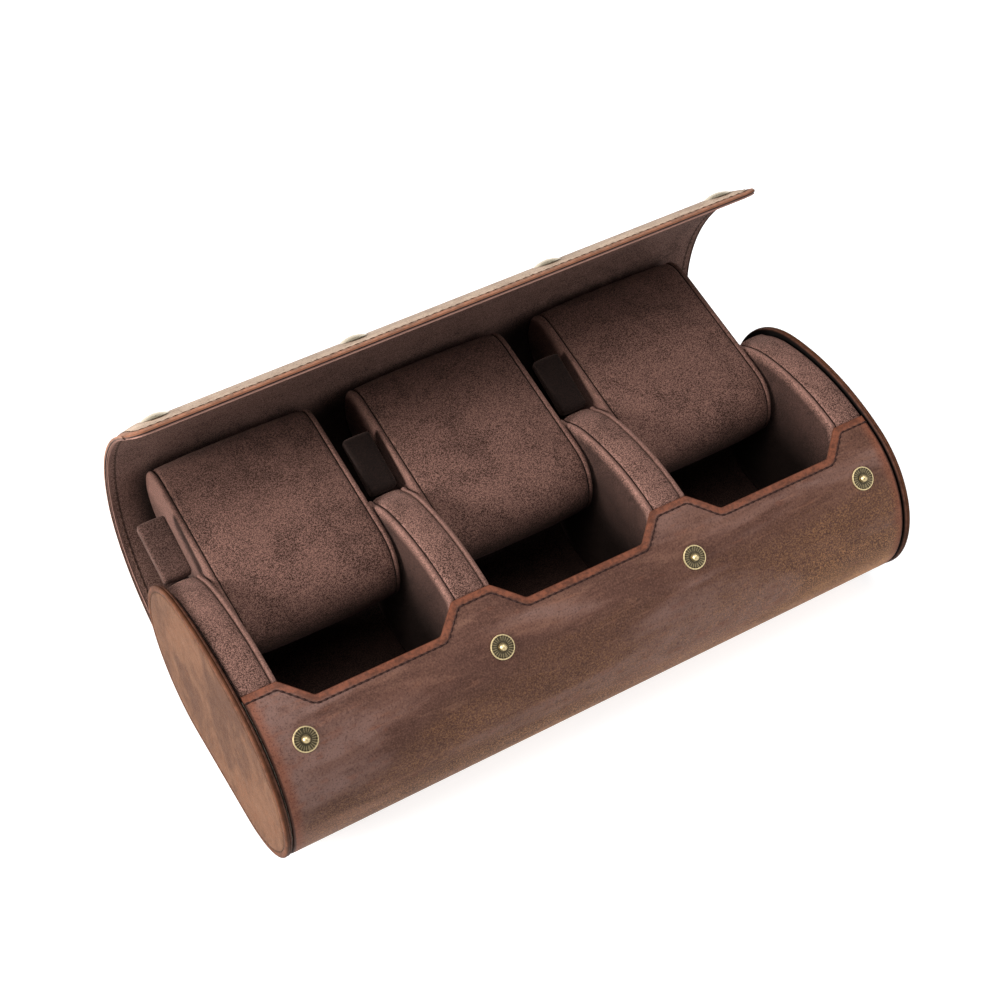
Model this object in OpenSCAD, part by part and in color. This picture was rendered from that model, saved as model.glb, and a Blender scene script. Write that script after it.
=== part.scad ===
// Three-place watch travel case: a leather roll with a wrap-over lid,
// four snap closures, padded dividers and three lift-up watch pillows.
// Units are millimetres. X runs along the case, +Y to the hinge, +Z up.

/* [Case] */
// Overall length, over both end caps
case_l = 290; // [240:1:340]
// Widest point of the oval end cap
case_w = 122.2; // [100:0.2:140]
// Height of the oval end cap
case_h = 83.9; // [69.5:0.1:90]
// Radius of the crown arc; the shoulder arcs run tangent from it
crown_r = 106.7; // [90:0.1:130]
// Radius of the arcs below the widest point, which run into the flat base
foot_r = 38.2; // [34:0.1:40]

/* [End caps] */
// Leather face of an end cap
cap_leather_t = 1.6; // [1.2:0.1:2.2]
// Board behind the leather face
cap_board_t = 1.9; // [1.4:0.1:2.6]
// Width of the pressed rim around the leather face
cap_rim_w = 3; // [2:0.1:4]
// Depth of the pressed line inside that rim
cap_groove_d = 0.35; // [0.2:0.05:0.6]

/* [Shell] */
// How far the front panel sits below the edge of the end caps
panel_inset = 1; // [0.6:0.1:1.4]
// Leather of the panel and of the lid
leather_t = 1.8; // [1.4:0.1:2.4]
// Stiffening board of the panel and base
board_t = 2; // [1.5:0.1:2.5]
// Suede lining inside the board
lining_t = 0.8; // [0.6:0.1:1.2]
// Centre line to the top of the panel tabs, measured forward
tab_y = 21.3; // [18:0.1:26]
// Centre line to the low edge of the panel at the watches
notch_y = 31.8; // [27:0.1:36]
// Length of the low edge at each watch
notch_low_l = 52.6; // [44:0.2:60]
// Extra length that the slanted sides add at the top of a notch
notch_flare = 10.4; // [6:0.1:14]
// Centre line to the back edge of the base, where the lid turns
root_y = 38.4; // [36:0.1:42]

/* [Dividers] */
// Thickness of the two dividers between watches
mid_div_t = 17.8; // [14:0.1:22]
// Thickness of the two dividers at the ends
end_div_t = 15.1; // [12:0.1:18]
// Suede side panel of a divider
side_panel_t = 2.6; // [1.8:0.1:3.4]
// How much lower the side panels are than the divider band
side_panel_drop = 0.6; // [0.2:0.1:1.2]
// Centre line to the back end of the divider crest
crest_end_y = 43.6; // [40:0.1:45]
// How far the dividers stand forward of the section at the back, clear of
// the closed lid
lid_room = 2.2; // [1:0.1:3]

/* [Stay tongues] */
// Padded tongue that lies on from each divider crest
tongue_l = 26; // [20:0.5:30]
// Thickness of a tongue
tongue_t = 5.5; // [4:0.1:6.5]
// Side margin between a tongue and the edges of its divider band
tongue_margin = 0.4; // [0.2:0.1:1]
// Rise of a tongue with the lid open, in degrees
tongue_rise = 17.7; // [10:0.1:25]
// Turn of a tongue from raised to folded down, in degrees
tongue_fold = 88.7; // [80:0.1:92]

/* [Pillows] */
// Half of a pillow's thickness, the radius of its round ends
pillow_r = 16; // [13:0.1:17.5]
// Distance between the centres of the round ends
pillow_core_l = 57; // [46:0.1:58]
// Clearance between a pillow and each divider
pillow_gap = 0.7; // [0.4:0.1:1.5]
// Suede side panel of a pillow
cheek_t = 2.4; // [1.6:0.1:3]
// How much smaller the side panels are than the pillow all round
cheek_drop = 0.5; // [0.2:0.1:1]
// Clearance between the back end of a raised pillow and the lid
pillow_lid_gap = 0.91; // [0.5:0.01:6]
// Centre of a raised pillow, above the base
pillow_z = 59.3; // [58:0.1:64]
// Tilt of a pillow, back end up, in degrees
pillow_tilt = 8.4; // [4:0.1:10]

/* [Lid] */
// Clearance between each lid end and its end cap
lid_end_gap = 0.5; // [0.3:0.1:1.5]
// Lining of the lid with its stiffener
lid_lining_t = 1.8; // [1.2:0.1:2]
// Height of the lid's outer face at its root
root_z = 4; // [3.9:0.05:4.3]
// Lengths of the first three arcs of the open lid, from the root
arc_1_l = 46.4; // [44:0.1:48]
arc_2_l = 49.9; // [48:0.1:52]
arc_3_l = 38.4; // [36:0.1:41]
// Outer radii of its four arcs
arc_1_r = 76.5; // [72:0.1:80]
arc_2_r = 52.2; // [50:0.1:54]
arc_3_r = 90.5; // [85:0.1:96]
arc_4_r = 114.7; // [105:0.1:125]
// Spare length of the lid over the way round the closed case to the studs
lid_ease = 0.622; // [0:0.001:3]
// Distances along the lid to its first two bending lines
bend_1 = 24; // [22:0.5:27]
bend_2 = 81; // [78:0.5:84]
// Length of the flap beyond the third bending line
flap_l = 28.8; // [26:0.2:34]
// Slit between lid sections at a bending line
bend_gap = 0.4; // [0.3:0.05:0.6]
// Corner radius of the free edge
lid_corner_r = 6; // [4:0.5:12]
// How far the lining stops short of the leather on the free edge
lining_setback = 0.8; // [0.4:0.1:2]

/* [Snaps] */
// Centre of the case to the inner pair of snaps
snap_in_x = 43.8; // [40:0.1:46]
// Centre of the case to the outer pair of snaps
snap_out_x = 126.8; // [118:0.1:128]
// Lean of a stud from vertical, in degrees
stud_lean = 37.4; // [34:0.1:42]
// Radius of the stud flange
stud_r = 4.9; // [4:0.1:5.5]
// Height of the rolled rim of the stud flange
stud_rim_h = 0.6; // [0.4:0.05:0.8]
// Radius of the stud ball
ball_r = 1.6; // [1.2:0.05:1.8]
// Height of the top of the ball above the panel
ball_h = 2.7; // [2.3:0.1:2.9]
// Radius of the post below the ball
post_r = 1.2; // [0.9:0.05:1.4]
// Number of pressed ribs in the dish of the flange
rib_n = 20; // [12:1:28]
// Radius of the domed cap on the lid
snap_cap_r = 6; // [5:0.1:6.5]
// Height of that dome
snap_cap_h = 1.5; // [1:0.1:2]
// Centre of a cap to the free edge of the lid
snap_edge = 11.8; // [10:0.1:13]
// Outer radius of the socket ring
socket_r = 4.3; // [3.8:0.1:4.6]
// Radius of the mouth of the socket
socket_mouth_r = 2.4; // [2.1:0.05:2.7]
// How far the socket stands out of the lining
socket_proud = 0.5; // [0.2:0.1:0.6]

/* [Hidden] */
$fa = 2;
$fs = 0.6;
eps = 0.02;
big = 400;
half_w = case_w / 2;
wide_z = foot_r;
foot_y = half_w - foot_r;
crown_z = case_h - crown_r;
core_z = wide_z - crown_z;
shoulder_r = (crown_r * crown_r - half_w * half_w - core_z * core_z)
        / (2 * (crown_r - half_w));
shoulder_y = half_w - shoulder_r;
tangent_a = atan(shoulder_y / core_z);
// Height of the section, moved inwards by t, at y on a shoulder
function top_z(y, t) = wide_z
    + sqrt((shoulder_r - t) * (shoulder_r - t) - (y - shoulder_y) * (y - shoulder_y));
cap_t = cap_leather_t + cap_board_t;
inner_l = case_l - 2 * cap_t;
shell_t = leather_t + board_t + lining_t;
inner_inset = panel_inset + shell_t;
well_l = (inner_l - 2 * mid_div_t - 2 * end_div_t) / 3;
mid_x = well_l / 2 + mid_div_t / 2;
well_x = well_l + mid_div_t;
tab_a = asin(tab_y / (crown_r - panel_inset));
crest_gap = 0.4;
crest_a = asin((tab_y - crest_gap) / (crown_r - panel_inset));

// Tongue: pivot inside the back end of the divider crest
pivot_y = crest_end_y - 0.9;
pivot_z = top_z(crest_end_y + lid_room, panel_inset) - 1.316;
tongue_y = 3.3;
tongue_z = 3;
knuckle_r = 3.6;
knuckle_drop = 1;

// Way round the closed section from the lid's root to the studs
foot_a = asin((root_y - foot_y) / foot_r);
reach = (foot_r * (90 - foot_a) + shoulder_r * (90 - tangent_a)
    + 2 * crown_r * tangent_a + shoulder_r * (stud_lean - tangent_a)) * PI / 180;
lid_s = reach + lid_ease + snap_edge;
bend_3 = lid_s - flap_l;
arc_4_l = lid_s - arc_1_l - arc_2_l - arc_3_l;

// Open lid: four tangent arcs, listed from the root
arc_l = [arc_1_l, arc_2_l, arc_3_l, arc_4_l];
arc_r = [arc_1_r, arc_2_r, arc_3_r, arc_4_r];
lid_t = leather_t + lid_lining_t;
lid_l = inner_l - 2 * lid_end_gap;
function arc_s(i) = i == 0 ? 0 : arc_s(i - 1) + arc_l[i - 1];
function arc_dir(i) = i == 0 ? 0 : arc_dir(i - 1) + turn(i - 1);
function turn(i) = arc_l[i] / arc_r[i] * 180 / PI;
function step(i) = arc_r[i] - arc_r[i - 1];
function arc_cy(i) = i == 0 ? root_y
    : arc_cy(i - 1) - step(i) * sin(arc_dir(i));
function arc_cz(i) = i == 0 ? root_z + arc_r[0]
    : arc_cz(i - 1) + step(i) * cos(arc_dir(i));
function last_dir(s) = arc_dir(3) + (s - arc_s(3)) / arc_r[3] * 180 / PI;
snap_s = lid_s - snap_edge;

// Raised pillow: its back end lies in the third arc of the lid
pillow_end_z = pillow_z + pillow_core_l / 2 * sin(pillow_tilt);
pillow_reach = arc_r[2] - lid_t - pillow_r - pillow_lid_gap;
pillow_y = arc_cy(2) + sqrt(pillow_reach * pillow_reach
    - (pillow_end_z - arc_cz(2)) * (pillow_end_z - arc_cz(2)))
    - pillow_core_l / 2 * cos(pillow_tilt);

snap_dir = last_dir(snap_s);
tip_dir = last_dir(lid_s);

suede = [0.33, 0.24, 0.21];
suede_dark = [0.27, 0.19, 0.17];
tan = [0.55, 0.38, 0.27];
brown = [0.38, 0.24, 0.19];
board_grey = [0.5, 0.47, 0.42];
antique = [0.55, 0.48, 0.33];

// ---------- outlines ----------

// The oval of the end cap, moved inwards by t. What stands back from the caps
// has the same flat base as they have.
module oval(t) {
    drop = min(t, panel_inset);
    intersection() {
        union() {
            for (s = [-1, 1])
                translate([s * shoulder_y, wide_z])
                    circle(r = shoulder_r - t);
            intersection() {
                translate([0, crown_z])
                    circle(r = crown_r - t);
                polygon([
                    [0, crown_z],
                    [big * tan(tangent_a), crown_z + big],
                    [-big * tan(tangent_a), crown_z + big]
                ]);
            }
        }
        translate([-big / 2, wide_z])
            square([big, big]);
    }
    translate([t + 4 - half_w, wide_z - 5])
        square([2 * (half_w - t - 4), 10]);
    translate([t - half_w, wide_z - drop])
        square([2 * (half_w - t), drop]);
    translate([0, -drop])
        intersection() {
            union() {
                for (s = [-1, 1])
                    translate([s * foot_y, wide_z])
                        circle(r = foot_r - t);
                translate([-foot_y, t])
                    square([2 * foot_y, foot_r - t]);
            }
            translate([-big / 2, wide_z - big])
                square([big, big]);
        }
}

// Part of the section that the fixed shell covers: from the lid's root,
// under the base and up the front to the angle a on the crown
module shell_side(a, y = root_y) {
    polygon([
        [-(30 - crown_z) * tan(a), 30],
        [-big * sin(a), crown_z + big * cos(a)],
        [-big, case_h],
        [-big, -10],
        [y, -10],
        [y, 14],
        [0, 14]
    ]);
}

module shell_band(t0, t1, a, y = root_y) {
    intersection() {
        difference() {
            oval(t0);
            oval(t1);
        }
        shell_side(a, y);
    }
}

// Stands a (Y, Z) outline up and spreads it along X about x
module along(l, x = 0) {
    translate([x - l / 2, 0, 0])
        rotate([90, 0, 90])
            linear_extrude(height = l)
                children();
}

// Low places in the front edge, one at each watch
module notches(grow = 0) {
    for (i = [-1, 0, 1])
        translate([i * well_x, 0, case_h / 2])
            linear_extrude(height = case_h)
                polygon([
                    [-notch_low_l / 2 - grow, -notch_y - grow],
                    [notch_low_l / 2 + grow, -notch_y - grow],
                    [notch_low_l / 2 + notch_flare + grow, -tab_y - grow / 2],
                    [notch_low_l / 2 + notch_flare + grow, 30],
                    [-notch_low_l / 2 - notch_flare - grow, 30],
                    [-notch_low_l / 2 - notch_flare - grow, -tab_y - grow / 2]
                ]);
}

module at_snaps() {
    for (x = [-snap_out_x, -snap_in_x, snap_in_x, snap_out_x])
        translate([x, 0, 0])
            children();
}

// Local +Z leaves the panel at a stud
module at_stud() {
    translate([
        0,
        -shoulder_y - (shoulder_r - panel_inset) * sin(stud_lean),
        wide_z + (shoulder_r - panel_inset) * cos(stud_lean)
    ])
        rotate([stud_lean, 0, 0])
            children();
}

// ---------- fixed shell ----------

module body_leather() {
    color(brown)
    difference() {
        along(inner_l)
            shell_band(panel_inset, panel_inset + leather_t, tab_a, root_y - bend_gap / 2);
        notches();
        at_snaps()
            at_stud()
                translate([0, 0, -leather_t - 1])
                    cylinder(r = post_r + 0.1, h = leather_t + 2);
    }
}

module body_board() {
    edge = 1.2;
    a = asin((tab_y + edge) / (crown_r - panel_inset));
    color(board_grey)
    difference() {
        along(inner_l)
            shell_band(panel_inset + leather_t, panel_inset + leather_t + board_t, a,
                root_y - 1);
        notches(edge);
        at_snaps()
            at_stud()
                translate([0, 0, -leather_t - 1.2])
                    cylinder(r = 3.8, h = leather_t);
    }
}

module body_lining() {
    edge = 0.4;
    a = asin((tab_y + edge) / (crown_r - panel_inset));
    color(suede_dark)
    difference() {
        along(inner_l)
            shell_band(inner_inset - lining_t, inner_inset, a, root_y - 1);
        notches(edge);
    }
}

module cap_leather(side) {
    color(tan)
    difference() {
        along(cap_leather_t, side * (case_l - cap_leather_t) / 2)
            oval(0);
        along(2 * cap_groove_d, side * case_l / 2)
            difference() {
                oval(cap_rim_w);
                oval(cap_rim_w + 0.6);
            }
    }
}

module cap_board(side) {
    color(brown)
    along(cap_board_t, side * (inner_l + cap_board_t) / 2)
        oval(0.3);
}

// ---------- dividers ----------

// The oval with its back drawn in from the closed lid
module drawn_in(t) {
    intersection() {
        oval(t);
        translate([-lid_room, 0])
            oval(t);
    }
}

module divider_side(drop) {
    drawn_in(inner_inset);
    intersection() {
        drawn_in(panel_inset + drop);
        polygon([
            [-(50 - crown_z) * tan(crest_a), 50],
            [-big * sin(crest_a), crown_z + big * cos(crest_a)],
            [crest_end_y, case_h + 10],
            [crest_end_y, 50]
        ]);
    }
}

// Room behind the crest where the folded tongue lies
module tongue_pocket() {
    translate([crest_end_y, pivot_z])
        polygon([
            [0, 30],
            [0, -3.5],
            [-3.3, -4.6],
            [-3.5, -5.2],
            [5, -29.8],
            [30, -48.5],
            [30, 30]
        ]);
}

module divider(x, t) {
    color(suede)
    along(t, x)
        union() {
            difference() {
                divider_side(0);
                tongue_pocket();
            }
            intersection() {
                translate([pivot_y, pivot_z])
                    circle(r = knuckle_r);
                oval(panel_inset + knuckle_drop);
            }
        }
}

module side_panel(x) {
    color(suede)
    along(side_panel_t, x)
        divider_side(side_panel_drop);
}

module mid_divider(side) {
    divider(side * mid_x, mid_div_t - 2 * side_panel_t);
}

module mid_sides(side) {
    for (s = [-1, 1])
        side_panel(side * mid_x + s * (mid_div_t - side_panel_t) / 2);
}

module end_divider(side) {
    divider(side * (inner_l / 2 - (end_div_t - side_panel_t) / 2), end_div_t - side_panel_t);
}

module end_side(side) {
    side_panel(side * (inner_l / 2 - end_div_t + side_panel_t / 2));
}

// A padded bar that turns about the back end of the crest
module tongue(x, w, fold = 0) {
    color(suede)
    translate([x, pivot_y, pivot_z])
        rotate([-fold, 0, 0])
            translate([0, tongue_y, tongue_z])
                rotate([tongue_rise, 0, 0])
                    translate([-w / 2, 0, -tongue_t])
                        cube([w, tongue_l, tongue_t]);
}

module mid_tongue(side) {
    tongue(side * mid_x, mid_div_t - 2 * side_panel_t - 2 * tongue_margin);
}

// The right one is stored folded down
module end_tongue(side) {
    w = end_div_t - side_panel_t - 2 * tongue_margin;
    tongue(side * (inner_l / 2 - (end_div_t - side_panel_t) / 2), w, side > 0 ? tongue_fold : 0);
}

// ---------- pillows ----------

module capsule(r) {
    for (s = [-1, 1])
        translate([s * pillow_core_l / 2, 0])
            circle(r = r);
    square([pillow_core_l, 2 * r], center = true);
}

module pillow_place(i) {
    translate([i * well_x, pillow_y, pillow_z])
        rotate([pillow_tilt, 0, 0])
            children();
}

module pillow(i) {
    w = well_l - 2 * pillow_gap - 2 * cheek_t;
    color(suede)
    pillow_place(i)
        along(w)
            capsule(pillow_r);
}

module pillow_cheeks(i) {
    w = well_l - 2 * pillow_gap - cheek_t;
    color(suede)
    for (s = [-1, 1])
        pillow_place(i)
            along(cheek_t, s * w / 2)
                capsule(pillow_r - cheek_drop);
}

// ---------- lid ----------

// One arc of the lid between lengths s0 and s1, from depth t0 to depth t1
module arc_band(i, s0, s1, t0, t1) {
    a0 = arc_dir(i) - 90 + (s0 - arc_s(i)) / arc_r[i] * 180 / PI;
    a1 = arc_dir(i) - 90 + (s1 - arc_s(i)) / arc_r[i] * 180 / PI;
    am = (a0 + a1) / 2;
    k = 1.4 * arc_r[i];
    translate([arc_cy(i), arc_cz(i)])
        intersection() {
            difference() {
                circle(r = arc_r[i] - t0);
                circle(r = arc_r[i] - t1);
            }
            polygon([
                [0, 0],
                [k * cos(a0), k * sin(a0)],
                [k * cos(am), k * sin(am)],
                [k * cos(a1), k * sin(a1)]
            ]);
        }
}

// The lid's section between two lengths, across all arcs that it meets
module lid_band(s0, s1, t0, t1) {
    for (i = [0:3])
        if (s0 < arc_s(i) + arc_l[i] && s1 > arc_s(i))
            arc_band(i, max(s0, arc_s(i) - eps), min(s1, arc_s(i) + arc_l[i]), t0, t1);
}

module lid_section(s0, s1, t0, t1, l = lid_l) {
    along(l)
        lid_band(s0 + bend_gap / 2, s1 - bend_gap / 2, t0, t1);
}

// Local +Z leaves the outer face of the lid at direction d, +Y runs back
// towards the root
module on_tip_arc(d) {
    translate([0, arc_cy(3) + arc_r[3] * sin(d), arc_cz(3) - arc_r[3] * cos(d)])
        rotate([d + 180, 0, 0])
            children();
}

// What rounds the two corners of the free edge
module corner_cut() {
    for (s = [-1, 1])
        on_tip_arc(tip_dir)
            translate([s * (lid_l / 2 - lid_corner_r + 0.05), -0.05, -20])
                difference() {
                    translate([s > 0 ? 0 : -lid_corner_r - 5, -5, 0])
                        cube([lid_corner_r + 5, lid_corner_r + 5, 40]);
                    translate([0, lid_corner_r, -1])
                        cylinder(r = lid_corner_r, h = 42);
                }
}

module lid_root_leather() {
    color(brown)
    lid_section(0, bend_1, 0, leather_t);
}

module lid_root_lining() {
    color(suede)
    lid_section(0.5, bend_1, leather_t, lid_t);
}

module lid_back_leather() {
    color(brown)
    lid_section(bend_1, bend_2, 0, leather_t);
}

module lid_back_lining() {
    color(suede)
    lid_section(bend_1, bend_2, leather_t, lid_t, lid_l - 1);
}

module lid_crown_leather() {
    color(brown)
    lid_section(bend_2, bend_3, 0, leather_t);
}

module lid_crown_lining() {
    color(suede)
    lid_section(bend_2, bend_3, leather_t, lid_t, lid_l - 1);
}

module lid_flap_leather() {
    color(brown)
    difference() {
        lid_section(bend_3, lid_s + bend_gap / 2, 0, leather_t);
        corner_cut();
        at_snaps()
            on_tip_arc(snap_dir)
                translate([0, 0, -leather_t - 2])
                    cylinder(r = 2, h = leather_t + 4);
    }
}

module lid_flap_lining() {
    color(suede)
    difference() {
        lid_section(bend_3, lid_s - lining_setback, leather_t, lid_t, lid_l - 1);
        corner_cut();
        at_snaps()
            on_tip_arc(snap_dir)
                translate([0, 0, -lid_t - 2])
                    cylinder(r = socket_r + 0.15, h = lid_t + 3);
    }
}

// ---------- snaps ----------

module stud() {
    // dished flange with a rolled rim
    rotate_extrude()
        polygon([
            [0, 0.05],
            [stud_r, 0.05],
            [stud_r, stud_rim_h - 0.1],
            [stud_r - 0.15, stud_rim_h],
            [stud_r - 0.65, stud_rim_h],
            [stud_r - 0.95, 0.35],
            [0, 0.35]
        ]);
    for (i = [0:rib_n - 1])
        rotate([0, 0, i * 360 / rib_n])
            translate([2.1, -0.16, 0.2])
                cube([1.6, 0.32, 0.27]);
    translate([0, 0, -leather_t - 0.25])
        cylinder(r = post_r, h = leather_t + ball_h - ball_r + 0.25);
    translate([0, 0, ball_h - ball_r])
        sphere(r = ball_r);
}

module snap_studs() {
    color(antique)
    at_snaps()
        at_stud()
            stud();
}

module stud_backs() {
    color(antique)
    at_snaps()
        at_stud()
            translate([0, 0, -leather_t - 1.05])
                cylinder(r = 3.6, h = 0.8);
}

module snap_caps() {
    dome_r = (snap_cap_r * snap_cap_r + snap_cap_h * snap_cap_h) / (2 * snap_cap_h);
    color(antique)
    at_snaps()
        on_tip_arc(snap_dir) {
            intersection() {
                translate([0, 0, snap_cap_h - dome_r])
                    sphere(r = dome_r, $fn = 160);
                translate([0, 0, 0.05])
                    cylinder(r = snap_cap_r, h = snap_cap_h + 1, $fn = 96);
            }
            translate([0, 0, -leather_t])
                cylinder(r = 1.9, h = leather_t + 0.5);
        }
}

module snap_sockets() {
    depth = lid_lining_t + socket_proud;
    color(antique)
    at_snaps()
        on_tip_arc(snap_dir)
            translate([0, 0, -leather_t - 0.05 - depth])
                difference() {
                    cylinder(r = socket_r, h = depth);
                    translate([0, 0, -1])
                        cylinder(r = socket_mouth_r, h = depth + 0.6);
                    translate([0, 0, -1])
                        cylinder(r = socket_mouth_r + 0.5, h = 1.3);
                }
}

body_leather();
body_board();
body_lining();
cap_leather(-1);  // left_cap_leather
cap_board(-1);  // left_cap_board
cap_leather(1);  // right_cap_leather
cap_board(1);  // right_cap_board
end_divider(-1);  // left_end_divider
mid_divider(-1);  // left_mid_divider
mid_divider(1);  // right_mid_divider
end_divider(1);  // right_end_divider
end_side(-1);  // left_end_side
mid_sides(-1);  // left_mid_sides
mid_sides(1);  // right_mid_sides
end_side(1);  // right_end_side
end_tongue(-1);  // left_end_tongue
mid_tongue(-1);  // left_mid_tongue
mid_tongue(1);  // right_mid_tongue
end_tongue(1);  // right_end_tongue
pillow(-1);  // left_pillow
pillow_cheeks(-1);  // left_pillow_cheeks
pillow(0);  // mid_pillow
pillow_cheeks(0);  // mid_pillow_cheeks
pillow(1);  // right_pillow
pillow_cheeks(1);  // right_pillow_cheeks
lid_root_leather();
lid_root_lining();
lid_back_leather();
lid_back_lining();
lid_crown_leather();
lid_crown_lining();
lid_flap_leather();
lid_flap_lining();
snap_studs();
stud_backs();
snap_caps();
snap_sockets();
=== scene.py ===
"""A three-place watch travel case: leather roll, suede dividers and pillows, snap lid."""
import math

import bmesh
import bpy
import numpy as np
from mathutils import Matrix, Vector
from mathutils.kdtree import KDTree


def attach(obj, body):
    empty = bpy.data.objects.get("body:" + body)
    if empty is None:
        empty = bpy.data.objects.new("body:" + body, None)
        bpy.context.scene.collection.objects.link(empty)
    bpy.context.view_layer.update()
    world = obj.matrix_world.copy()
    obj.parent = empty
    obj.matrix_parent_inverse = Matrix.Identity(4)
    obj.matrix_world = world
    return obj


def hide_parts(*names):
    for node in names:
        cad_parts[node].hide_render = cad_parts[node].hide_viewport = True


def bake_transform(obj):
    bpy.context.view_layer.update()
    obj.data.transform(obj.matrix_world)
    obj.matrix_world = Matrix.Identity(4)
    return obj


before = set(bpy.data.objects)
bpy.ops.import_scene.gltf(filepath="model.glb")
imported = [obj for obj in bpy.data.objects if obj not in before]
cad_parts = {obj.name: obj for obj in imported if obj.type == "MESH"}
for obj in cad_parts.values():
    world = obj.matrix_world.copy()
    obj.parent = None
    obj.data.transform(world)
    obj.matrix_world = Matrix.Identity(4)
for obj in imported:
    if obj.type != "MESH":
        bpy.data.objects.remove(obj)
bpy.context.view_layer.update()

MM = 0.001

# ---- sizes, in millimetres
CASE_L, HALF_W, CASE_H = 290.0, 61.1, 83.9
CROWN_R, FOOT_R = 106.7, 38.2
WIDE_Z = FOOT_R
FOOT_Y = HALF_W - FOOT_R
CROWN_Z = CASE_H - CROWN_R
CORE_Z = WIDE_Z - CROWN_Z
SHOULDER_R = (CROWN_R**2 - HALF_W**2 - CORE_Z**2) / (2 * (CROWN_R - HALF_W))
SHOULDER_Y = HALF_W - SHOULDER_R
TANGENT = math.degrees(math.atan(SHOULDER_Y / CORE_Z))
INNER_L = 283.0
PANEL_INSET = 1.0
LEATHER_T, BOARD_T, LINING_T = 1.8, 2.0, 0.8
INNER_INSET = PANEL_INSET + LEATHER_T + BOARD_T + LINING_T
TAB_Y, NOTCH_Y = 21.3, 31.8
NOTCH_LOW_L, NOTCH_FLARE = 52.6, 10.4
ROOT_Y, ROOT_Z = 38.4, 4.0
MID_DIV_T, END_DIV_T, SIDE_T = 17.8, 15.1, 2.6
WELL_L = (INNER_L - 2 * MID_DIV_T - 2 * END_DIV_T) / 3
PITCH = WELL_L + MID_DIV_T
MID_X = PITCH / 2
CREST_END = 43.6
PIVOT = (42.7, 68.5)
TONGUE_L, TONGUE_T, TONGUE_RISE, TONGUE_FOLD = 26.0, 5.5, 17.7, 88.7
PILLOW_R, PILLOW_CORE = 16.0, 57.0
PILLOW_C, PILLOW_TILT, PILLOW_W, CHEEK_T = (55.7, 59.3), 8.4, WELL_L - 1.4, 2.4
PILLOW_SWELL, CHEEK_DOME = 1.1, 0.0001
LID_L, LID_T = 282.0, 3.6
LINING_DEPTH, LID_LINING_T = LEATHER_T + 0.02, 1.76
LINING_SETBACK, LID_SETBACK = 0.35, 0.8
ARC_L = (46.4, 49.9, 38.4, 54.1)
ARC_R = (76.5, 52.2, 90.5, 114.7)
LID_S = sum(ARC_L)
CORNER_R = 7.5
DROOP, DROOP_W = 1.3, 8.0
SNAP_X = (-126.8, -43.8, 43.8, 126.8)
SNAP_S = LID_S - 11.8
STUD_LEAN = 37.4
SOCKET_R, SOCKET_WALL, MOUTH_DEPTH = 4.3, 0.4, 1.4
LID_SEAM, PANEL_SEAM, CAP_SEAM, NO_GROOVE = 3.0, 3.4, 2.9, 99.0


def ways(angle):
    """The two parts of a direction given in degrees."""
    return math.cos(math.radians(angle)), math.sin(math.radians(angle))


def ease(t):
    """A ramp from 0 to 1 that starts and ends level."""
    return t * t * (3 - 2 * t)


def in_space(x, y, z):
    """Points from places across the case and a line in the YZ plane."""
    return np.stack([np.broadcast_to(x, np.shape(y)), y, z], 1)


# ---- outlines in the YZ plane
def arc(cy, cz, r, a0, a1):
    """A run of an outline about a centre, from one angle to another."""
    return ("arc", cy, cz, r, math.radians(a0), math.radians(a1), abs(math.radians(a1 - a0)) * r)


def straight(y0, z0, y1, z1, a):
    """A straight run whose outward normal has the angle a."""
    return ("straight", y0, z0, y1, z1, math.radians(a), math.hypot(y1 - y0, z1 - z0))


class Outline:
    """A line of arcs and straight runs across the case. s runs along its outer face;
    depth goes inwards from that face."""

    def __init__(self, runs):
        self.runs, self.start, total = runs, [], 0.0
        for r in runs:
            self.start.append(total)
            total += r[-1]
        self.length = total

    def at(self, s, depth=0.0):
        """Points (y, z) and outward normals at distances s."""
        s = np.asarray(s, float)
        depth = np.broadcast_to(np.asarray(depth, float), s.shape)
        which = np.clip(np.searchsorted(self.start, s, side="right") - 1, 0, len(self.runs) - 1)
        y, z, a = np.zeros_like(s), np.zeros_like(s), np.zeros_like(s)
        for i, r in enumerate(self.runs):
            m = which == i
            if not m.any():
                continue
            t = (s[m] - self.start[i]) / r[-1]
            if r[0] == "arc":
                _, cy, cz, rad, a0, a1, _ = r
                ang = a0 + t * (a1 - a0)
                y[m] = cy + (rad - depth[m]) * np.cos(ang)
                z[m] = cz + (rad - depth[m]) * np.sin(ang)
            else:
                _, y0, z0, y1, z1, ang, _ = r
                y[m] = y0 + t * (y1 - y0) - depth[m] * math.cos(ang)
                z[m] = z0 + t * (z1 - z0) - depth[m] * math.sin(ang)
            a[m] = ang
        return y, z, np.cos(a), np.sin(a)


def section(inset, tab_y=TAB_Y):
    """The case's section at an inset, from the lid's root under the base and up to the tabs."""
    drop = min(inset, PANEL_INSET)
    r = FOOT_R - inset
    back = math.degrees(math.asin((ROOT_Y - FOOT_Y) / r))
    tab = math.degrees(math.asin(tab_y / (CROWN_R - PANEL_INSET)))
    z0 = inset - drop
    w = HALF_W - inset
    return Outline([
        arc(FOOT_Y, WIDE_Z - drop, r, -90 + back, -90),
        straight(FOOT_Y, z0, -FOOT_Y, z0, -90),
        arc(-FOOT_Y, WIDE_Z - drop, r, -90, -180),
        straight(-w, WIDE_Z - drop, -w, WIDE_Z, 180),
        arc(-SHOULDER_Y, WIDE_Z, SHOULDER_R - inset, 180, 90 + TANGENT),
        arc(0, CROWN_Z, CROWN_R - inset, 90 + TANGENT, 90 + tab),
    ])


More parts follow.
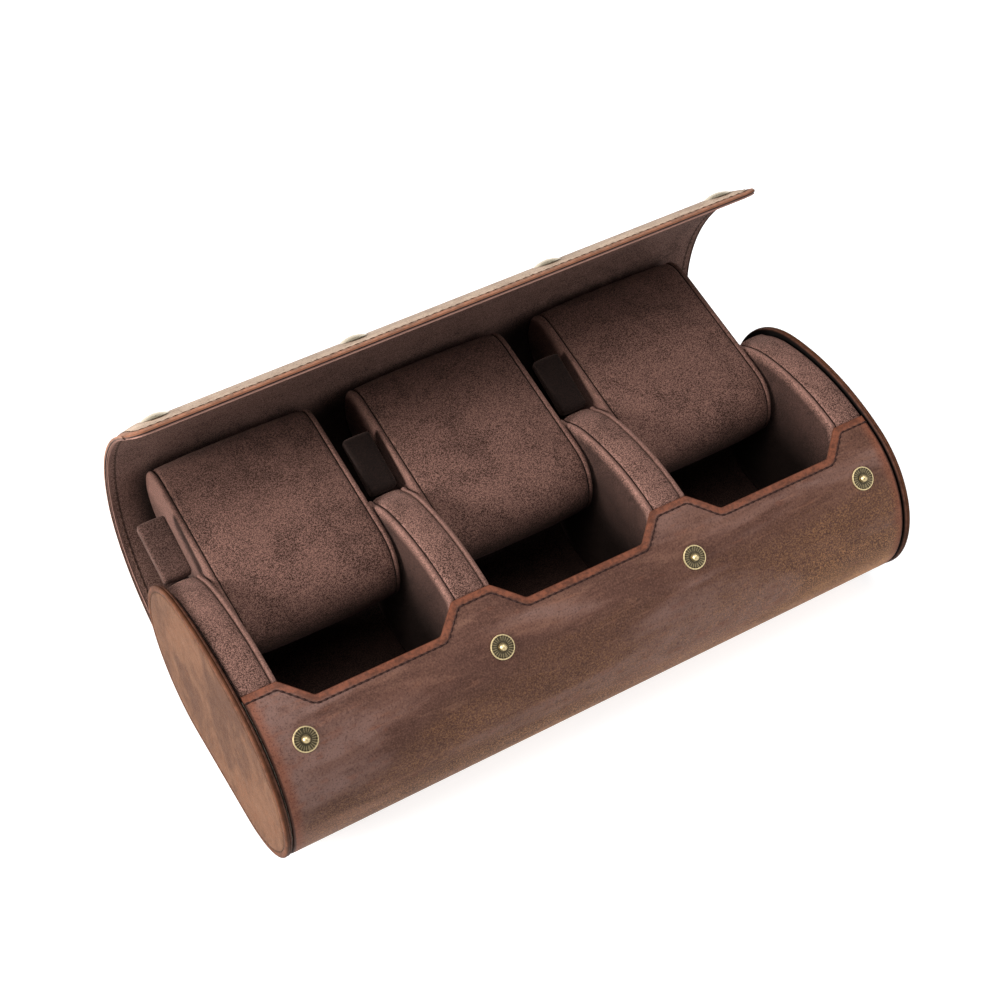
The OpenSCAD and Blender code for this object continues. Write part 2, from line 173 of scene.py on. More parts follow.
def open_lid():
    """The open lid's outer face: four tangent arcs from the root to the free edge."""
    runs, d, cy, cz = [], 0.0, ROOT_Y, ROOT_Z + ARC_R[0]
    for i, (l, r) in enumerate(zip(ARC_L, ARC_R)):
        if i:
            step = r - ARC_R[i - 1]
            c, s = ways(d)
            cy, cz = cy - step * s, cz + step * c
        turn = math.degrees(l / r)
        runs.append(arc(cy, cz, r, d - 90, d + turn - 90))
        d += turn
    return Outline(runs)


SHELL = section(PANEL_INSET)
LID = open_lid()


# ---- meshes
SHARP_CREASE = math.radians(58)


def placed(name, data):
    """A new object in the scene, at the origin."""
    obj = bpy.data.objects.new(name, data)
    bpy.context.scene.collection.objects.link(obj)
    return obj


def closed_mesh(name, points, faces, attributes):
    """A smooth mesh from millimetre points whose faces point outwards."""
    pts = np.asarray(points, float) * MM
    volume = 0.0
    for f in faces:
        p = pts[list(f)]
        volume += np.einsum("j,ij->i", p[0], np.cross(p[1:-1], p[2:])).sum()
    if volume < 0:
        faces = [tuple(reversed(f)) for f in faces]
    mesh = bpy.data.meshes.new(name)
    mesh.from_pydata(pts.tolist(), [], [tuple(int(i) for i in f) for f in faces])
    for key, values in attributes.items():
        a = mesh.attributes.new(key, "FLOAT", "POINT")
        a.data.foreach_set("value", np.asarray(values, np.float32).ravel())
    mesh.polygons.foreach_set("use_smooth", np.ones(len(mesh.polygons), bool))
    mesh.update()
    mesh.set_sharp_from_angle(angle=SHARP_CREASE)
    return placed(name, mesh)


def grid_quads(rows, cols, first=0, wrap=False):
    """Quads between the rows of a grid; wrap joins the last column to the first."""
    out = []
    for i in range(rows - 1):
        for j in range(cols if wrap else cols - 1):
            k = (j + 1) % cols
            a, b = first + i * cols, first + (i + 1) * cols
            out.append((a + j, a + k, b + k, b + j))
    return out


def distance_to(line, x, s):
    """Distance from each (x, s) to the nearest part of an open polyline."""
    p = np.stack([np.ravel(x), np.ravel(s)], 1)
    best = np.full(len(p), 1e9)
    line = np.asarray(line, float)
    for a, b in zip(line[:-1], line[1:]):
        d = b - a
        t = np.clip(((p - a) @ d) / max(d @ d, 1e-12), 0, 1)
        best = np.minimum(best, np.hypot(*(p - a - t[:, None] * d).T))
    return best.reshape(np.shape(x))


def spread(low, high, step):
    """Even steps between two values, ends left out."""
    n = max(1, int(round((high - low) / step)))
    return list(low + (high - low) * (np.arange(1, n) / n))


EDGE_STEPS = [0.0, 0.1, 0.3, 0.6, 1.0, 1.6, 2.4, 3.2, 4.0, 5.0, 6.5]
EDGE_ZONE, SIDE_CUT = 9, 3.3
SHELL_ROW, SHELL_COLUMN, LID_ROW, LID_COLUMN = 3.4, 4.5, 3, 5.0


def across(half_l, corners, step=SHELL_COLUMN):
    """Columns across the case, close together at both ends and at the corners."""
    xs = [-half_l + e for e in EDGE_STEPS] + [half_l - e for e in EDGE_STEPS]
    xs += spread(-half_l + EDGE_STEPS[-1], half_l - EDGE_STEPS[-1], step)
    for c in corners:
        xs += [c - 2, c - 1, c - 0.4, c, c + 0.4, c + 1, c + 2]
    xs = sorted(xs)
    out = [xs[0]]
    for x in xs[1:]:
        if x - out[-1] > 0.05:
            out.append(x)
    return np.array(out)


def sheet_piece(name, outline, xs, s_rows, depth, thick, edge_lines, round_r, press=(), sewn=None):
    """A sheet that follows an outline: outer face at depth, edges rounded along
    edge_lines, where it is cut, and pressed lines at set distances from the sewn edge."""
    x = np.broadcast_to(xs, s_rows.shape)
    e = np.minimum.reduce([distance_to(line, x, s_rows) for line in edge_lines])
    c = e if sewn is None else distance_to(sewn, x, s_rows)
    lap = np.where(e < round_r, round_r - np.sqrt(np.maximum(0, round_r**2 - (round_r - e) ** 2)), 0)
    pressed = 0.0
    for at, width, how_deep in press:
        pressed = pressed + how_deep * np.exp(-(((c - at) / width) ** 2))
    d_out = depth + lap + pressed
    d_in = depth + thick - lap
    y0, z0, _, _ = outline.at(s_rows.ravel(), d_out.ravel())
    y1, z1, _, _ = outline.at(s_rows.ravel(), d_in.ravel())
    rows, cols = s_rows.shape
    n = rows * cols
    pts = np.concatenate([in_space(x.ravel(), y0, z0), in_space(x.ravel(), y1, z1)])
    faces = grid_quads(rows, cols)
    faces += [tuple(reversed(f)) for f in grid_quads(rows, cols, n)]
    ring = (list(range(cols)) + [i * cols + cols - 1 for i in range(1, rows)]
            + [(rows - 1) * cols + j for j in range(cols - 2, -1, -1)]
            + [i * cols for i in range(rows - 2, 0, -1)])
    for a, b in zip(ring, ring[1:] + ring[:1]):
        faces.append((b, a, a + n, b + n))
    c = np.minimum(c, SIDE_CUT + e * 0.5)
    data = {"cut": np.concatenate([c.ravel(), c.ravel()]),
            "inside": np.concatenate([np.zeros(n), np.ones(n)])}
    return closed_mesh(name, pts, faces, data)


def evaluated(obj):
    """A plain mesh of what an object's modifiers make."""
    return bpy.data.meshes.new_from_object(obj.evaluated_get(bpy.context.evaluated_depsgraph_get()))


def join(name, parts):
    """One object of several, which are removed."""
    bm = bmesh.new()
    for p in parts:
        bm.from_mesh(p.data)
    mesh = bpy.data.meshes.new(name)
    bm.to_mesh(mesh)
    bm.free()
    for p in parts:
        bpy.data.objects.remove(p)
    return placed(name, mesh)


def paint(obj, finish):
    """Gives a piece, or a carried-over node, its one finish."""
    obj.data.materials.clear()
    obj.data.materials.append(finish)


def times(colour, k):
    """A colour made darker or lighter."""
    return tuple(c * k for c in colour)


# ---- finishes
class Socket:
    """A shader socket; an expression on it adds its Math nodes."""

    def __init__(self, finish, socket):
        self.finish, self.socket = finish, socket

    def math(self, operation, *values):
        return self.finish.node("ShaderNodeMath", {"operation": operation}, dict(enumerate(values)))

    def __add__(self, other):
        return self.math("ADD", self, other)

    __radd__ = __add__

    def __sub__(self, other):
        return self.math("SUBTRACT", self, other)

    def __rsub__(self, other):
        return self.math("SUBTRACT", other, self)

    def __mul__(self, other):
        return self.math("MULTIPLY", self, other)

    __rmul__ = __mul__

    def __abs__(self):
        return self.math("ABSOLUTE", self)

    def least(self, other):
        return self.math("MINIMUM", self, other)

    def root(self):
        return self.math("SQRT", self)

    def rise(self, low, high):
        """0 below low, 1 above high, smooth between; low above high turns it round."""
        return self.finish.node("ShaderNodeMapRange", {"interpolation_type": "SMOOTHSTEP"},
                                {"Value": self, "From Min": low, "From Max": high})


class Finish:
    """A material made of nodes on one Principled shader; tone is its colour so far."""

    def __init__(self, name):
        self.material = bpy.data.materials.new(name)
        self.material.use_nodes = True
        self.tree = self.material.node_tree
        self.shader = self.tree.nodes["Principled BSDF"]
        self.place = self.node("ShaderNodeTexCoord", output="Object")
        self.tone = None

    def node(self, kind, settings=None, inputs=None, output=0):
        n = self.tree.nodes.new(kind)
        for key, value in (settings or {}).items():
            setattr(n, key, value)
        for key, value in (inputs or {}).items():
            if isinstance(value, Socket):
                self.tree.links.new(value.socket, n.inputs[key])
            else:
                n.inputs[key].default_value = value
        return Socket(self, n.outputs[output])

    def attribute(self, name):
        return self.node("ShaderNodeAttribute", {"attribute_name": name}, output="Fac")

    def axes(self):
        split = self.node("ShaderNodeSeparateXYZ", inputs={0: self.place})
        outs = split.socket.node.outputs
        return tuple(Socket(self, outs[i]) for i in range(3))

    def stretched(self, scale, turn=(0, 0, 0)):
        return self.node("ShaderNodeMapping", inputs={"Vector": self.place, "Rotation": turn, "Scale": scale})

    def noise(self, scale, detail, rough, twist=0.0, place=None):
        return self.node("ShaderNodeTexNoise", inputs={
            "Vector": place or self.place, "Scale": scale, "Detail": detail,
            "Roughness": rough, "Distortion": twist})

    def pores(self, scale):
        return self.node("ShaderNodeTexVoronoi", {"feature": "SMOOTH_F1"},
                         {"Vector": self.place, "Scale": scale})

    def mix(self, factor, a, b, how="MIX"):
        colours = {0: factor}
        for key, value in ((6, a), (7, b)):
            colours[key] = value if isinstance(value, Socket) else (*value, 1.0)
        return self.node("ShaderNodeMix", {"data_type": "RGBA", "blend_type": how}, colours, output=2)

    def coat(self, mask, colour, how="MIX"):
        """Lays a colour over the tone where the mask is 1."""
        self.tone = self.mix(mask, self.tone, colour, how)

    def bump(self, height, strength, distance):
        return self.node("ShaderNodeBump",
                         inputs={"Height": height, "Strength": strength, "Distance": distance})

    def end(self, **sockets):
        """Fills the shader's sockets, with values or links."""
        for key, value in sockets.items():
            socket = self.shader.inputs[key.replace("_", " ")]
            if isinstance(value, Socket):
                self.tree.links.new(value.socket, socket)
            elif key.endswith("Color") or key.endswith("Tint"):
                socket.default_value = (*value, 1.0)
            else:
                socket.default_value = value
        return self.material


def waxed_leather(name, deep, middle, pale, edge, shine, streak=(9, 34, 34), back=(0.05, 0.028, 0.02),
                  groove=PANEL_SEAM, red=0.5, ochre=None, sheen_band=None, paler_near_edge=None):
    """Pull-up leather: soft clouds, fine grain, reddish rubs, and a chafed band by a cut edge.
    ochre stains it low on the case; a painted highlight band lightens it high up; a paler colour may be laid
    towards the edge; painted shade darkens the pressed groove."""
    f = Finish(name)
    x, _, z = f.axes()
    clouds = f.noise(1.0, 4, 0.55, 0.6, f.stretched(streak))
    drifts = f.noise(1.0, 5, 0.62, 1.0, f.stretched(times(streak, 2.6), (0.2, 0.1, 0.1)))
    mottle = f.noise(160, 5, 0.72, 0.3)
    grain = f.noise(1350, 3, 0.7)
    scuffs = f.noise(1.0, 3, 0.5, 0.2, f.stretched((70, 620, 400), (0.3, 0.2, 0.7)))
    cut = f.attribute("cut")
    f.tone = f.mix((clouds * 0.6 + drifts * 0.4).rise(0.41, 0.59), deep, middle)
    rubbed = (drifts * 0.6 + mottle * 0.4).rise(0.5, 0.7)
    f.coat(rubbed * 0.5, pale)
    # an optional paler colour laid towards the cut edge
    if paler_near_edge:
        near = (cut + clouds * 6 - drifts * 3).rise(19.0, 11.0)
        f.coat(near * 0.93, f.mix(drifts.rise(0.42, 0.6), times(paler_near_edge, 0.8), paler_near_edge))
    if ochre:
        golden = f.noise(1500, 4, 0.75, 0.2)
        belt = abs(z + clouds * 0.05 - drifts * 0.03 - 0.062).rise(0.02, 0.004)
        f.coat(belt * 0.5, times(deep, 0.75))
        # painted highlight: a paler mauve sheen band high on the panel
        high = (z + clouds * 0.06 + drifts * 0.02).rise(0.07, 0.1)
        f.coat(high * (0.12 + clouds.rise(0.46, 0.6) * 0.75), sheen_band)
        flecks = golden.rise(0.44, 0.62) * (z - x * 0.08 + clouds * 0.07).rise(0.105, 0.06)
        f.coat(flecks * 0.55, ochre)
        low = (z - x * 0.09 + clouds * 0.05 + drifts * 0.02 + golden * 0.006).rise(0.068, 0.034)
        f.coat(low * 0.85, ochre)
        ends = (abs(x) + clouds * 0.006 + mottle * 0.004).rise(0.1405, 0.1455)
        f.coat(ends * 0.75, edge)
    redness = (clouds * 0.3 + mottle * 0.35 + scuffs * 0.35).rise(0.52, 0.66)
    f.coat(redness * red, (middle[0] * 1.45, middle[1] * 1.05, middle[2] * 0.85))
    f.coat(scuffs.rise(0.6, 0.72) * 0.25, pale)
    f.coat(mottle.rise(0.4, 0.7) * 0.3, times(deep, 0.6))
    f.coat(grain.rise(0.5, 0.68) * 0.3, pale)
    f.coat(grain.rise(0.48, 0.34) * 0.55, times(deep, 0.5))
    chafed = f.noise(520, 4, 0.7, 0.2)
    worn = (cut + mottle * 2.4 - drifts * 1.2).rise(4.4, 2.6)
    f.coat(worn * 0.8, f.mix((mottle * 0.4 + chafed * 0.6).rise(0.4, 0.6), edge, times(edge, 0.45)))
    # painted shade: a dark line along the pressed groove under the stitches
    f.coat(abs(cut - groove).rise(0.5, 0.15) * 0.75, times(deep, 0.25))
    painted = (cut + chafed * 0.5).rise(0.8, 0.4)
    f.coat(painted * 0.7, times(edge, 0.4))
    # back colours the leather's inner face; where it is near black it paints the shade in the gap beside the
    # lining or behind a cap's rim
    f.coat(f.attribute("inside"), back)
    height = grain * 0.5 + f.pores(620) * 0.3 + mottle * 0.5 + scuffs * 0.25
    return f.end(Base_Color=f.tone, Roughness=0.54 + mottle * 0.24 - rubbed * 0.06,
                 Normal=f.bump(height, 0.3, 0.0006), Specular_IOR_Level=shine)


def suede(name, deep, light, low_shade=None, rear_shade=0.0, torn=0.0, behind_pillow_shade=0.0, shaded=0.0):
    """Suede-like cloth: a fine speckled pile, black in the seams and paler where piping is rubbed.
    Its four shade options paint shade on it: darker low down, towards the back under the lid, behind the
    pillows and between them; the deep attribute paints shade on side panels' faces."""
    f = Finish(name)
    x, y, z = f.axes()
    brushed = f.noise(55, 4, 0.62, 1.0)
    pile = f.noise(3000, 2, 0.7)
    tufts = f.noise(1500, 3, 0.75, 0.3)
    f.tone = f.mix((pile * 0.5 + tufts * 0.5).rise(0.455, 0.555), deep, light)
    f.coat(brushed.rise(0.35, 0.68) * 0.2, times(light, 1.15))
    f.coat(brushed.rise(0.5, 0.3) * 0.25, deep)
    f.coat(f.attribute("rub") * 0.3, times(light, 1.2))
    # black colours the seams; the second tint is what painted shade multiplies in
    black, dim = times(deep, 0.12), (0.07, 0.06, 0.055)
    # painted shade: darker towards the back, where the lid shades the pillow tops
    if rear_shade:
        f.coat((y + brushed * 0.012).rise(0.052, 0.088) * rear_shade, (0.3, 0.27, 0.25), "MULTIPLY")
    # painted shade: darker low down, deep in the wells and on the pillows' lower fronts
    if low_shade:
        amount, high, low = low_shade
        f.coat((z + brushed * 0.01).rise(high, low) * amount, dim, "MULTIPLY")
    # painted shade: the deep attribute darkens the faces of side panels, the wells' walls in the pillows'
    # shade
    f.coat(f.attribute("deep") * 0.9, (0.12, 0.105, 0.1), "MULTIPLY")
    # painted shade: the tongues between the pillows darkened
    if shaded:
        f.coat(abs(x).rise(0.13, 0.12) * shaded, dim, "MULTIPLY")
    # painted shade: the lid lining darkened low down behind the pillows
    if behind_pillow_shade:
        between = abs(x).rise(0.137, 0.124)
        f.coat((z + brushed * 0.008).rise(0.088, 0.066) * between * behind_pillow_shade, dim, "MULTIPLY")
    f.coat(f.attribute("seam").rise(0.48, 0.85) * 0.95, black)
    if torn:
        cut = f.attribute("cut")
        f.coat(abs(cut - LID_SEAM).rise(0.5, 0.2) * 0.7, black)
        ends = 0.35 + abs(x).rise(0.1395, 0.1385) * 0.65
        f.coat((cut + tufts * 2.6 + pile * 0.8).rise(2.7, 1.7) * ends * torn, times(light, 1.7))
    height = pile * 0.8 + tufts * 0.7 + brushed * 0.5
    return f.end(Base_Color=f.tone, Roughness=0.92 - brushed * 0.06, Normal=f.bump(height, 0.5, 0.0006),
                 Sheen_Weight=0.1, Sheen_Roughness=0.5, Sheen_Tint=(0.7, 0.45, 0.38),
                 Specular_IOR_Level=0.08)


def thread(name, tone):
    """Waxed thread with a fine twist."""
    f = Finish(name)
    twist = f.noise(2600, 2, 0.5)
    return f.end(Base_Color=f.mix(twist.rise(0.35, 0.65), tone, times(tone, 1.5)),
                 Roughness=0.8, Normal=f.bump(twist, 0.5, 0.0002), Specular_IOR_Level=0.12)


def antique_brass(name, bright, dark, studs=False, rough=0.34):
    """Aged brass. A stud is dark in its dish and bright on its ticks, its rim and its ball."""
    f = Finish(name)
    x, y, z = f.axes()
    age = f.noise(900, 4, 0.65, 0.3)
    spots = f.noise(3200, 3, 0.6)
    if studs:
        c, s = ways(STUD_LEAN)
        r, side = SHOULDER_R - PANEL_INSET, abs(x)
        y0, z0 = -(SHOULDER_Y + r * s) * MM, (WIDE_Z + r * c) * MM
        sideways = abs(side - SNAP_X[2] * MM).least(abs(side - SNAP_X[3] * MM))
        along = (y - y0) * c + (z - z0) * s
        reach = (sideways * sideways + along * along).root()
        dish = reach.rise(0.0013, 0.0018) * reach.rise(0.0046, 0.0043)
        ticks = along.math("SINE", along.math("ARCTAN2", along, sideways) * 24.0).rise(0.1, 0.8)
        worn = (1 - dish) * 0.95 + age * 0.1 + ticks * reach.rise(0.0022, 0.0027) * 0.3
    else:
        worn = 0.55 + age * 0.5
    f.tone = f.mix(worn, dark, bright)
    f.coat(spots.rise(0.6, 0.75) * 0.5, dark)
    return f.end(Base_Color=f.tone, Metallic=0.9, Roughness=rough + age * 0.22,
                 Normal=f.bump(spots, 0.15, 0.0001))


def stiff_board(name):
    """Pressed fibre board."""
    f = Finish(name)
    fibres = f.noise(400, 4, 0.6)
    return f.end(Base_Color=f.mix(fibres, (0.3, 0.25, 0.2), (0.42, 0.37, 0.3)), Roughness=0.9,
                 Normal=f.bump(fibres, 0.3, 0.0003))


# the panel's mauve band high up is a painted highlight
PANEL_LEATHER = waxed_leather(
    "panel_leather", (0.05, 0.0185, 0.0115), (0.113, 0.0495, 0.0325), (0.178, 0.09, 0.059),
    edge=(0.15, 0.046, 0.023), shine=0.14, ochre=(0.45, 0.215, 0.085), sheen_band=(0.128, 0.073, 0.061))
# the lid leather's near-black back paints the shade in the gap between leather and lining
LID_LEATHER = waxed_leather(
    "lid_leather", (0.095, 0.042, 0.026), (0.16, 0.082, 0.054), (0.24, 0.14, 0.098),
    edge=(0.26, 0.088, 0.04), shine=0.16, back=(0.02, 0.01, 0.008), groove=LID_SEAM, red=0.35,
    paler_near_edge=(0.44, 0.335, 0.255))
CAP_LEATHER = waxed_leather(
    "cap_leather", (0.046, 0.017, 0.0072), (0.088, 0.038, 0.018), (0.125, 0.062, 0.031),
    edge=(0.085, 0.029, 0.013), shine=0.08, streak=(30, 30, 16), groove=CAP_SEAM, red=0.45)
# the rim leather's near-black back paints the shade in the narrow gap behind the rim
RIM_LEATHER = waxed_leather(
    "rim_leather", (0.04, 0.016, 0.01), (0.065, 0.026, 0.016), (0.1, 0.044, 0.027),
    edge=(0.07, 0.028, 0.017), shine=0.06, streak=(60, 40, 40), back=(0.0015, 0.001, 0.0008),
    groove=NO_GROOVE)
# the case suede carries painted shade low down in the wells
CASE_SUEDE = suede("case_suede", (0.022, 0.0104, 0.0077), (0.187, 0.098, 0.078), low_shade=(0.9, 0.078, 0.042))
# the pillow suede carries painted shade low on its front and towards the back under the lid
PILLOW_SUEDE = suede("pillow_suede", (0.0145, 0.007, 0.0051), (0.152, 0.078, 0.0615),
                     low_shade=(0.85, 0.074, 0.05), rear_shade=0.45)
# a darker copy of the suede for the tongues, painted shade, darkest between the pillows
SHADED_TONGUE_SUEDE = suede("shaded_tongue_suede", (0.016, 0.008, 0.006), (0.08, 0.042, 0.0335), shaded=0.97)
# the lid suede carries painted shade low down behind the pillows
LID_SUEDE = suede("lid_suede", (0.033, 0.017, 0.013), (0.18, 0.099, 0.079), torn=0.9, behind_pillow_shade=1.0)
DARK_THREAD = thread("dark_thread", (0.018, 0.0075, 0.006))
LID_THREAD = thread("lid_thread", (0.04, 0.02, 0.013))
CAP_THREAD = thread("cap_thread", (0.05, 0.026, 0.015))
STUD_BRASS = antique_brass("stud_brass", (0.47, 0.37, 0.2), (0.03, 0.024, 0.015), studs=True)
CAP_BRASS = antique_brass("cap_brass", (0.66, 0.56, 0.4), (0.16, 0.12, 0.07), rough=0.18)
BOARD = stiff_board("grey_board")


# ---- stitches
def stitch_tree():
    """Nodes that lay one thread bead at each step along a line."""
    tree = bpy.data.node_groups.new("stitches", "GeometryNodeTree")
    face, made, sizes = tree.interface, tree.nodes.new, {}
    for name, way, kind in (("Line", "INPUT", "Geometry"), ("Pitch", "INPUT", "Float"),
                            ("Length", "INPUT", "Float"), ("Width", "INPUT", "Float"),
                            ("Thread", "INPUT", "Material"), ("Stitches", "OUTPUT", "Geometry")):
        sizes[name] = face.new_socket(name, in_out=way, socket_type="NodeSocket" + kind)
    start, stop = made("NodeGroupInput"), made("NodeGroupOutput")
    curve, steps = made("GeometryNodeMeshToCurve"), made("GeometryNodeResampleCurve")
    steps.mode = "LENGTH"
    bead = made("GeometryNodeMeshUVSphere")
    for name, value in (("Segments", 6), ("Rings", 4), ("Radius", 0.5)):
        bead.inputs[name].default_value = value
    lay, tangent = made("FunctionNodeAlignRotationToVector"), made("GeometryNodeInputTangent")
    lay.axis = "Z"
    size = made("ShaderNodeCombineXYZ")
    put, real = made("GeometryNodeInstanceOnPoints"), made("GeometryNodeRealizeInstances")
    colour = made("GeometryNodeSetMaterial")
    for source, out, target, into in (
            (start, "Line", curve, 0), (curve, 0, steps, "Curve"), (start, "Pitch", steps, "Length"),
            (tangent, 0, lay, "Vector"), (start, "Width", size, 0), (start, "Width", size, 1),
            (start, "Length", size, 2), (steps, 0, put, "Points"), (bead, 0, put, "Instance"),
            (lay, 0, put, "Rotation"), (size, 0, put, "Scale"), (put, 0, real, 0),
            (real, 0, colour, "Geometry"), (start, "Thread", colour, "Material"), (colour, 0, stop, 0)):
        tree.links.new(source.outputs[out], target.inputs[into])
    return tree, sizes


STITCHES, STITCH_SIZES = stitch_tree()


def stitches(name, lines, finish, pitch, length, width):
    """Thread beads along lines of millimetre points, as one plain mesh."""
    mesh = bpy.data.meshes.new(name + "_line")
    pts, edges = [], []
    for line in lines:
        first = len(pts)
        pts += [tuple(p) for p in (np.asarray(line, float) * MM)]
        edges += [(i, i + 1) for i in range(first, len(pts) - 1)]
    mesh.from_pydata(pts, edges, [])
    carrier = placed(name + "_line", mesh)
    m = carrier.modifiers.new("stitches", "NODES")
    m.node_group = STITCHES
    for key, value in (("Pitch", pitch * MM), ("Length", length * MM), ("Width", width * MM),
                       ("Thread", finish)):
        m[STITCH_SIZES[key].identifier] = value
    done = evaluated(carrier)
    bpy.data.objects.remove(carrier)
    done.polygons.foreach_set("use_smooth", np.ones(len(done.polygons), bool))
    return placed(name, done)


# ---- shell and lid
class Line:
    """A line of close points, read like an Outline; s may start below zero."""

    def __init__(self, s, y, z, ny, nz):
        self.s, self.columns = np.asarray(s), [np.asarray(c) for c in (y, z, ny, nz)]

    def at(self, s, depth=0.0):
        y, z, ny, nz = (np.interp(s, self.s, c) for c in self.columns)
        size = np.hypot(ny, nz)
        ny, nz = ny / size, nz / size
        return y - ny * depth, z - nz * depth, ny, nz


TURN_S, TURN_Y, TURN_STEPS, TURN_EASE = 12.0, 34.0, 60, 14


def wrapped_section():
    """The leather from the lid, round the fold at the lid's root, under the base and up the front."""
    s = np.linspace(0, SHELL.length, 1400)
    y, z, ny, nz = SHELL.at(s)
    keep = y[: len(y) // 2] >= TURN_Y
    first = int(np.argmin(keep))
    s, y, z, ny, nz = (a[first:] for a in (s, y, z, ny, nz))
    ly, lz, lny, lnz = (float(v) for v in LID.at(TURN_S))
    chord = math.hypot(ly - y[0], lz - z[0])
    t = np.linspace(0, 1, TURN_STEPS)[:-1]
    h = ((1 + 2 * t) * (1 - t) ** 2, t * (1 - t) ** 2, ease(t), t * t * (t - 1))
    # along the way, the direction is the outward normal turned a quarter
    cy = h[0] * ly + h[1] * chord * lnz + h[2] * y[0] + h[3] * chord * nz[0]
    cz = h[0] * lz - h[1] * chord * lny + h[2] * z[0] - h[3] * chord * ny[0]
    ay, az = np.append(cy, y[0]), np.append(cz, z[0])
    run = np.hypot(np.diff(ay), np.diff(az))
    back = s[0] - run.sum() + np.concatenate([[0], np.cumsum(run)[:-1]])
    dy, dz = np.gradient(ay)[:-1], np.gradient(az)[:-1]
    long = np.hypot(dy, dz)
    bny, bnz = -dz / long, dy / long
    bny[0], bnz[0] = lny, lnz
    return Line(np.concatenate([back, s]), np.concatenate([cy, y]), np.concatenate([cz, z]),
                np.concatenate([bny, ny]), np.concatenate([bnz, nz]))


WRAP = wrapped_section()
NOTCH_SOFT, NOTCH_STEP = 13, 0.1


def notch_edge():
    """Distance along the section to the panel's front edge at each x, corners softened."""
    half = INNER_L / 2 + 1
    x = np.arange(-half, half + NOTCH_STEP / 10, NOTCH_STEP)
    y = np.full_like(x, -TAB_Y)
    for i in (-1, 0, 1):
        out = np.abs(x - i * PITCH) - NOTCH_LOW_L / 2
        low = np.clip(1 - out / NOTCH_FLARE, 0, 1)
        y = np.minimum(y, -TAB_Y - (NOTCH_Y - TAB_Y) * low)
    k = np.hanning(2 * NOTCH_SOFT + 1)
    y = np.convolve(np.pad(y, NOTCH_SOFT, mode="edge"), k / k.sum(), mode="valid")
    front = WRAP.s > SHELL.length * 0.55
    return x, np.interp(y, WRAP.columns[0][front], WRAP.s[front])


EDGE_X, EDGE_S = notch_edge()
NOTCH_CORNERS = [i * PITCH + k * w for i in (-1, 0, 1) for k in (-1, 1)
                 for w in (NOTCH_LOW_L / 2, NOTCH_LOW_L / 2 + NOTCH_FLARE)]


def half_length(s, full, turn):
    """Half of the leather's length: the panel's, eased to the lid's beyond the fold."""
    return full + (turn - full) * ease(np.clip((WRAP.s[TURN_STEPS] - np.asarray(s)) / TURN_EASE, 0, 1))


def shell_rows(edge_s, xs):
    """Rows from the fold to the front edge, close together where the edge is cut."""
    edge = np.interp(xs, EDGE_X, edge_s)
    plain_end = edge_s.min() - EDGE_ZONE
    plain = np.arange(WRAP.s[0], plain_end, SHELL_ROW)
    plain = plain + (plain_end - plain[-1]) * np.linspace(0, 1, len(plain))
    rows = [np.full_like(xs, p) for p in plain]
    for t in (0.34, 0.67, 1.0):
        rows.append(plain_end + (edge - EDGE_STEPS[-1] - plain_end) * t)
    return np.array(rows + [edge - e for e in reversed(EDGE_STEPS[:-1])])


def shell_leather():
    """The panel's leather and the start of the lid's, sewn along the notched front edge."""
    half = INNER_L / 2
    xs = across(half, NOTCH_CORNERS)
    rows = shell_rows(EDGE_S, xs)
    wide = xs * half_length(rows, half, LID_L / 2) / half
    side = [(half_length(s, half, LID_L / 2), s) for s in np.linspace(rows[0, 0], rows[-1, -1], 40)]
    front = list(zip(EDGE_X, EDGE_S))
    line = [(-x, s) for x, s in side] + [(x, s) for x, s in front if abs(x) < half][::4] + side[::-1]
    piece = sheet_piece("shell_leather", WRAP, wide, rows, 0, LEATHER_T, [line], 0.6,
                        [(PANEL_SEAM, 0.5, 0.13)], front[::4])
    paint(piece, PANEL_LEATHER)
    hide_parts("body_leather")
    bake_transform(piece)


def shell_lining():
    """The lining of the shell, turned over the board's edge at the front."""
    half, edge_s = INNER_L / 2 - 0.1, EDGE_S - LINING_SETBACK
    xs = across(half, NOTCH_CORNERS)
    rows = shell_rows(edge_s, xs)
    wide = xs * half_length(rows, half, LID_L / 2 - 0.5) / half
    line = list(zip(EDGE_X, edge_s))[::4]
    e = distance_to(line, wide, rows)
    y, back = WRAP.at(rows)[0], rows < SHELL.length * 0.4
    # it lies on the board, comes down to the leather at the front edge and at the root, and is
    # pressed in just before the root
    turn = ease(np.clip((y - 38.5) / 8.5, 0, 1) * back)
    near = LINING_DEPTH + BOARD_T * ease(np.clip((e - 0.2) / 0.8, 0, 1))
    root = 0.5 * np.exp(-((y - 36.5) / 3.5) ** 2) * back
    depth = near * (1 - turn) + LINING_DEPTH * turn + root
    thick = LINING_T * (1 - turn) + LID_LINING_T * turn
    piece = sheet_piece("shell_lining", WRAP, wide, rows, depth, thick, [line], LINING_SETBACK)
    paint(piece, CASE_SUEDE)
    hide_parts("body_lining")
    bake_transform(piece)


def lid_edge(half, setback, corner):
    """Distance along the lid to its free edge at each x, with round corners."""
    x = np.linspace(-half, half, 1130)
    inward = np.clip(np.abs(x) - (half - corner), 0, corner)
    return x, LID_S - setback - (corner - np.sqrt(np.maximum(corner**2 - inward**2, 0)))


# piece, low and high along the lid, the two bodies it crosses, where it turns from one to the other
LID_PARTS = (("lid_back", TURN_S, 52.0, ("lid_root", "lid_back"), (13.0, 35.0)),
             ("lid_crown", 52.0, 120.0, ("lid_back", "lid_crown"), (68.0, 94.0)),
             ("lid_flap", 120.0, None, ("lid_crown", "lid_flap"), (148.0, 172.0)))


def lid_blend(piece, run):
    """Bakes a piece's transform into its mesh; the place it finds on the lid at run is not used."""
    y, z, _, _ = LID.at(run, LID_T / 2)
    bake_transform(piece)


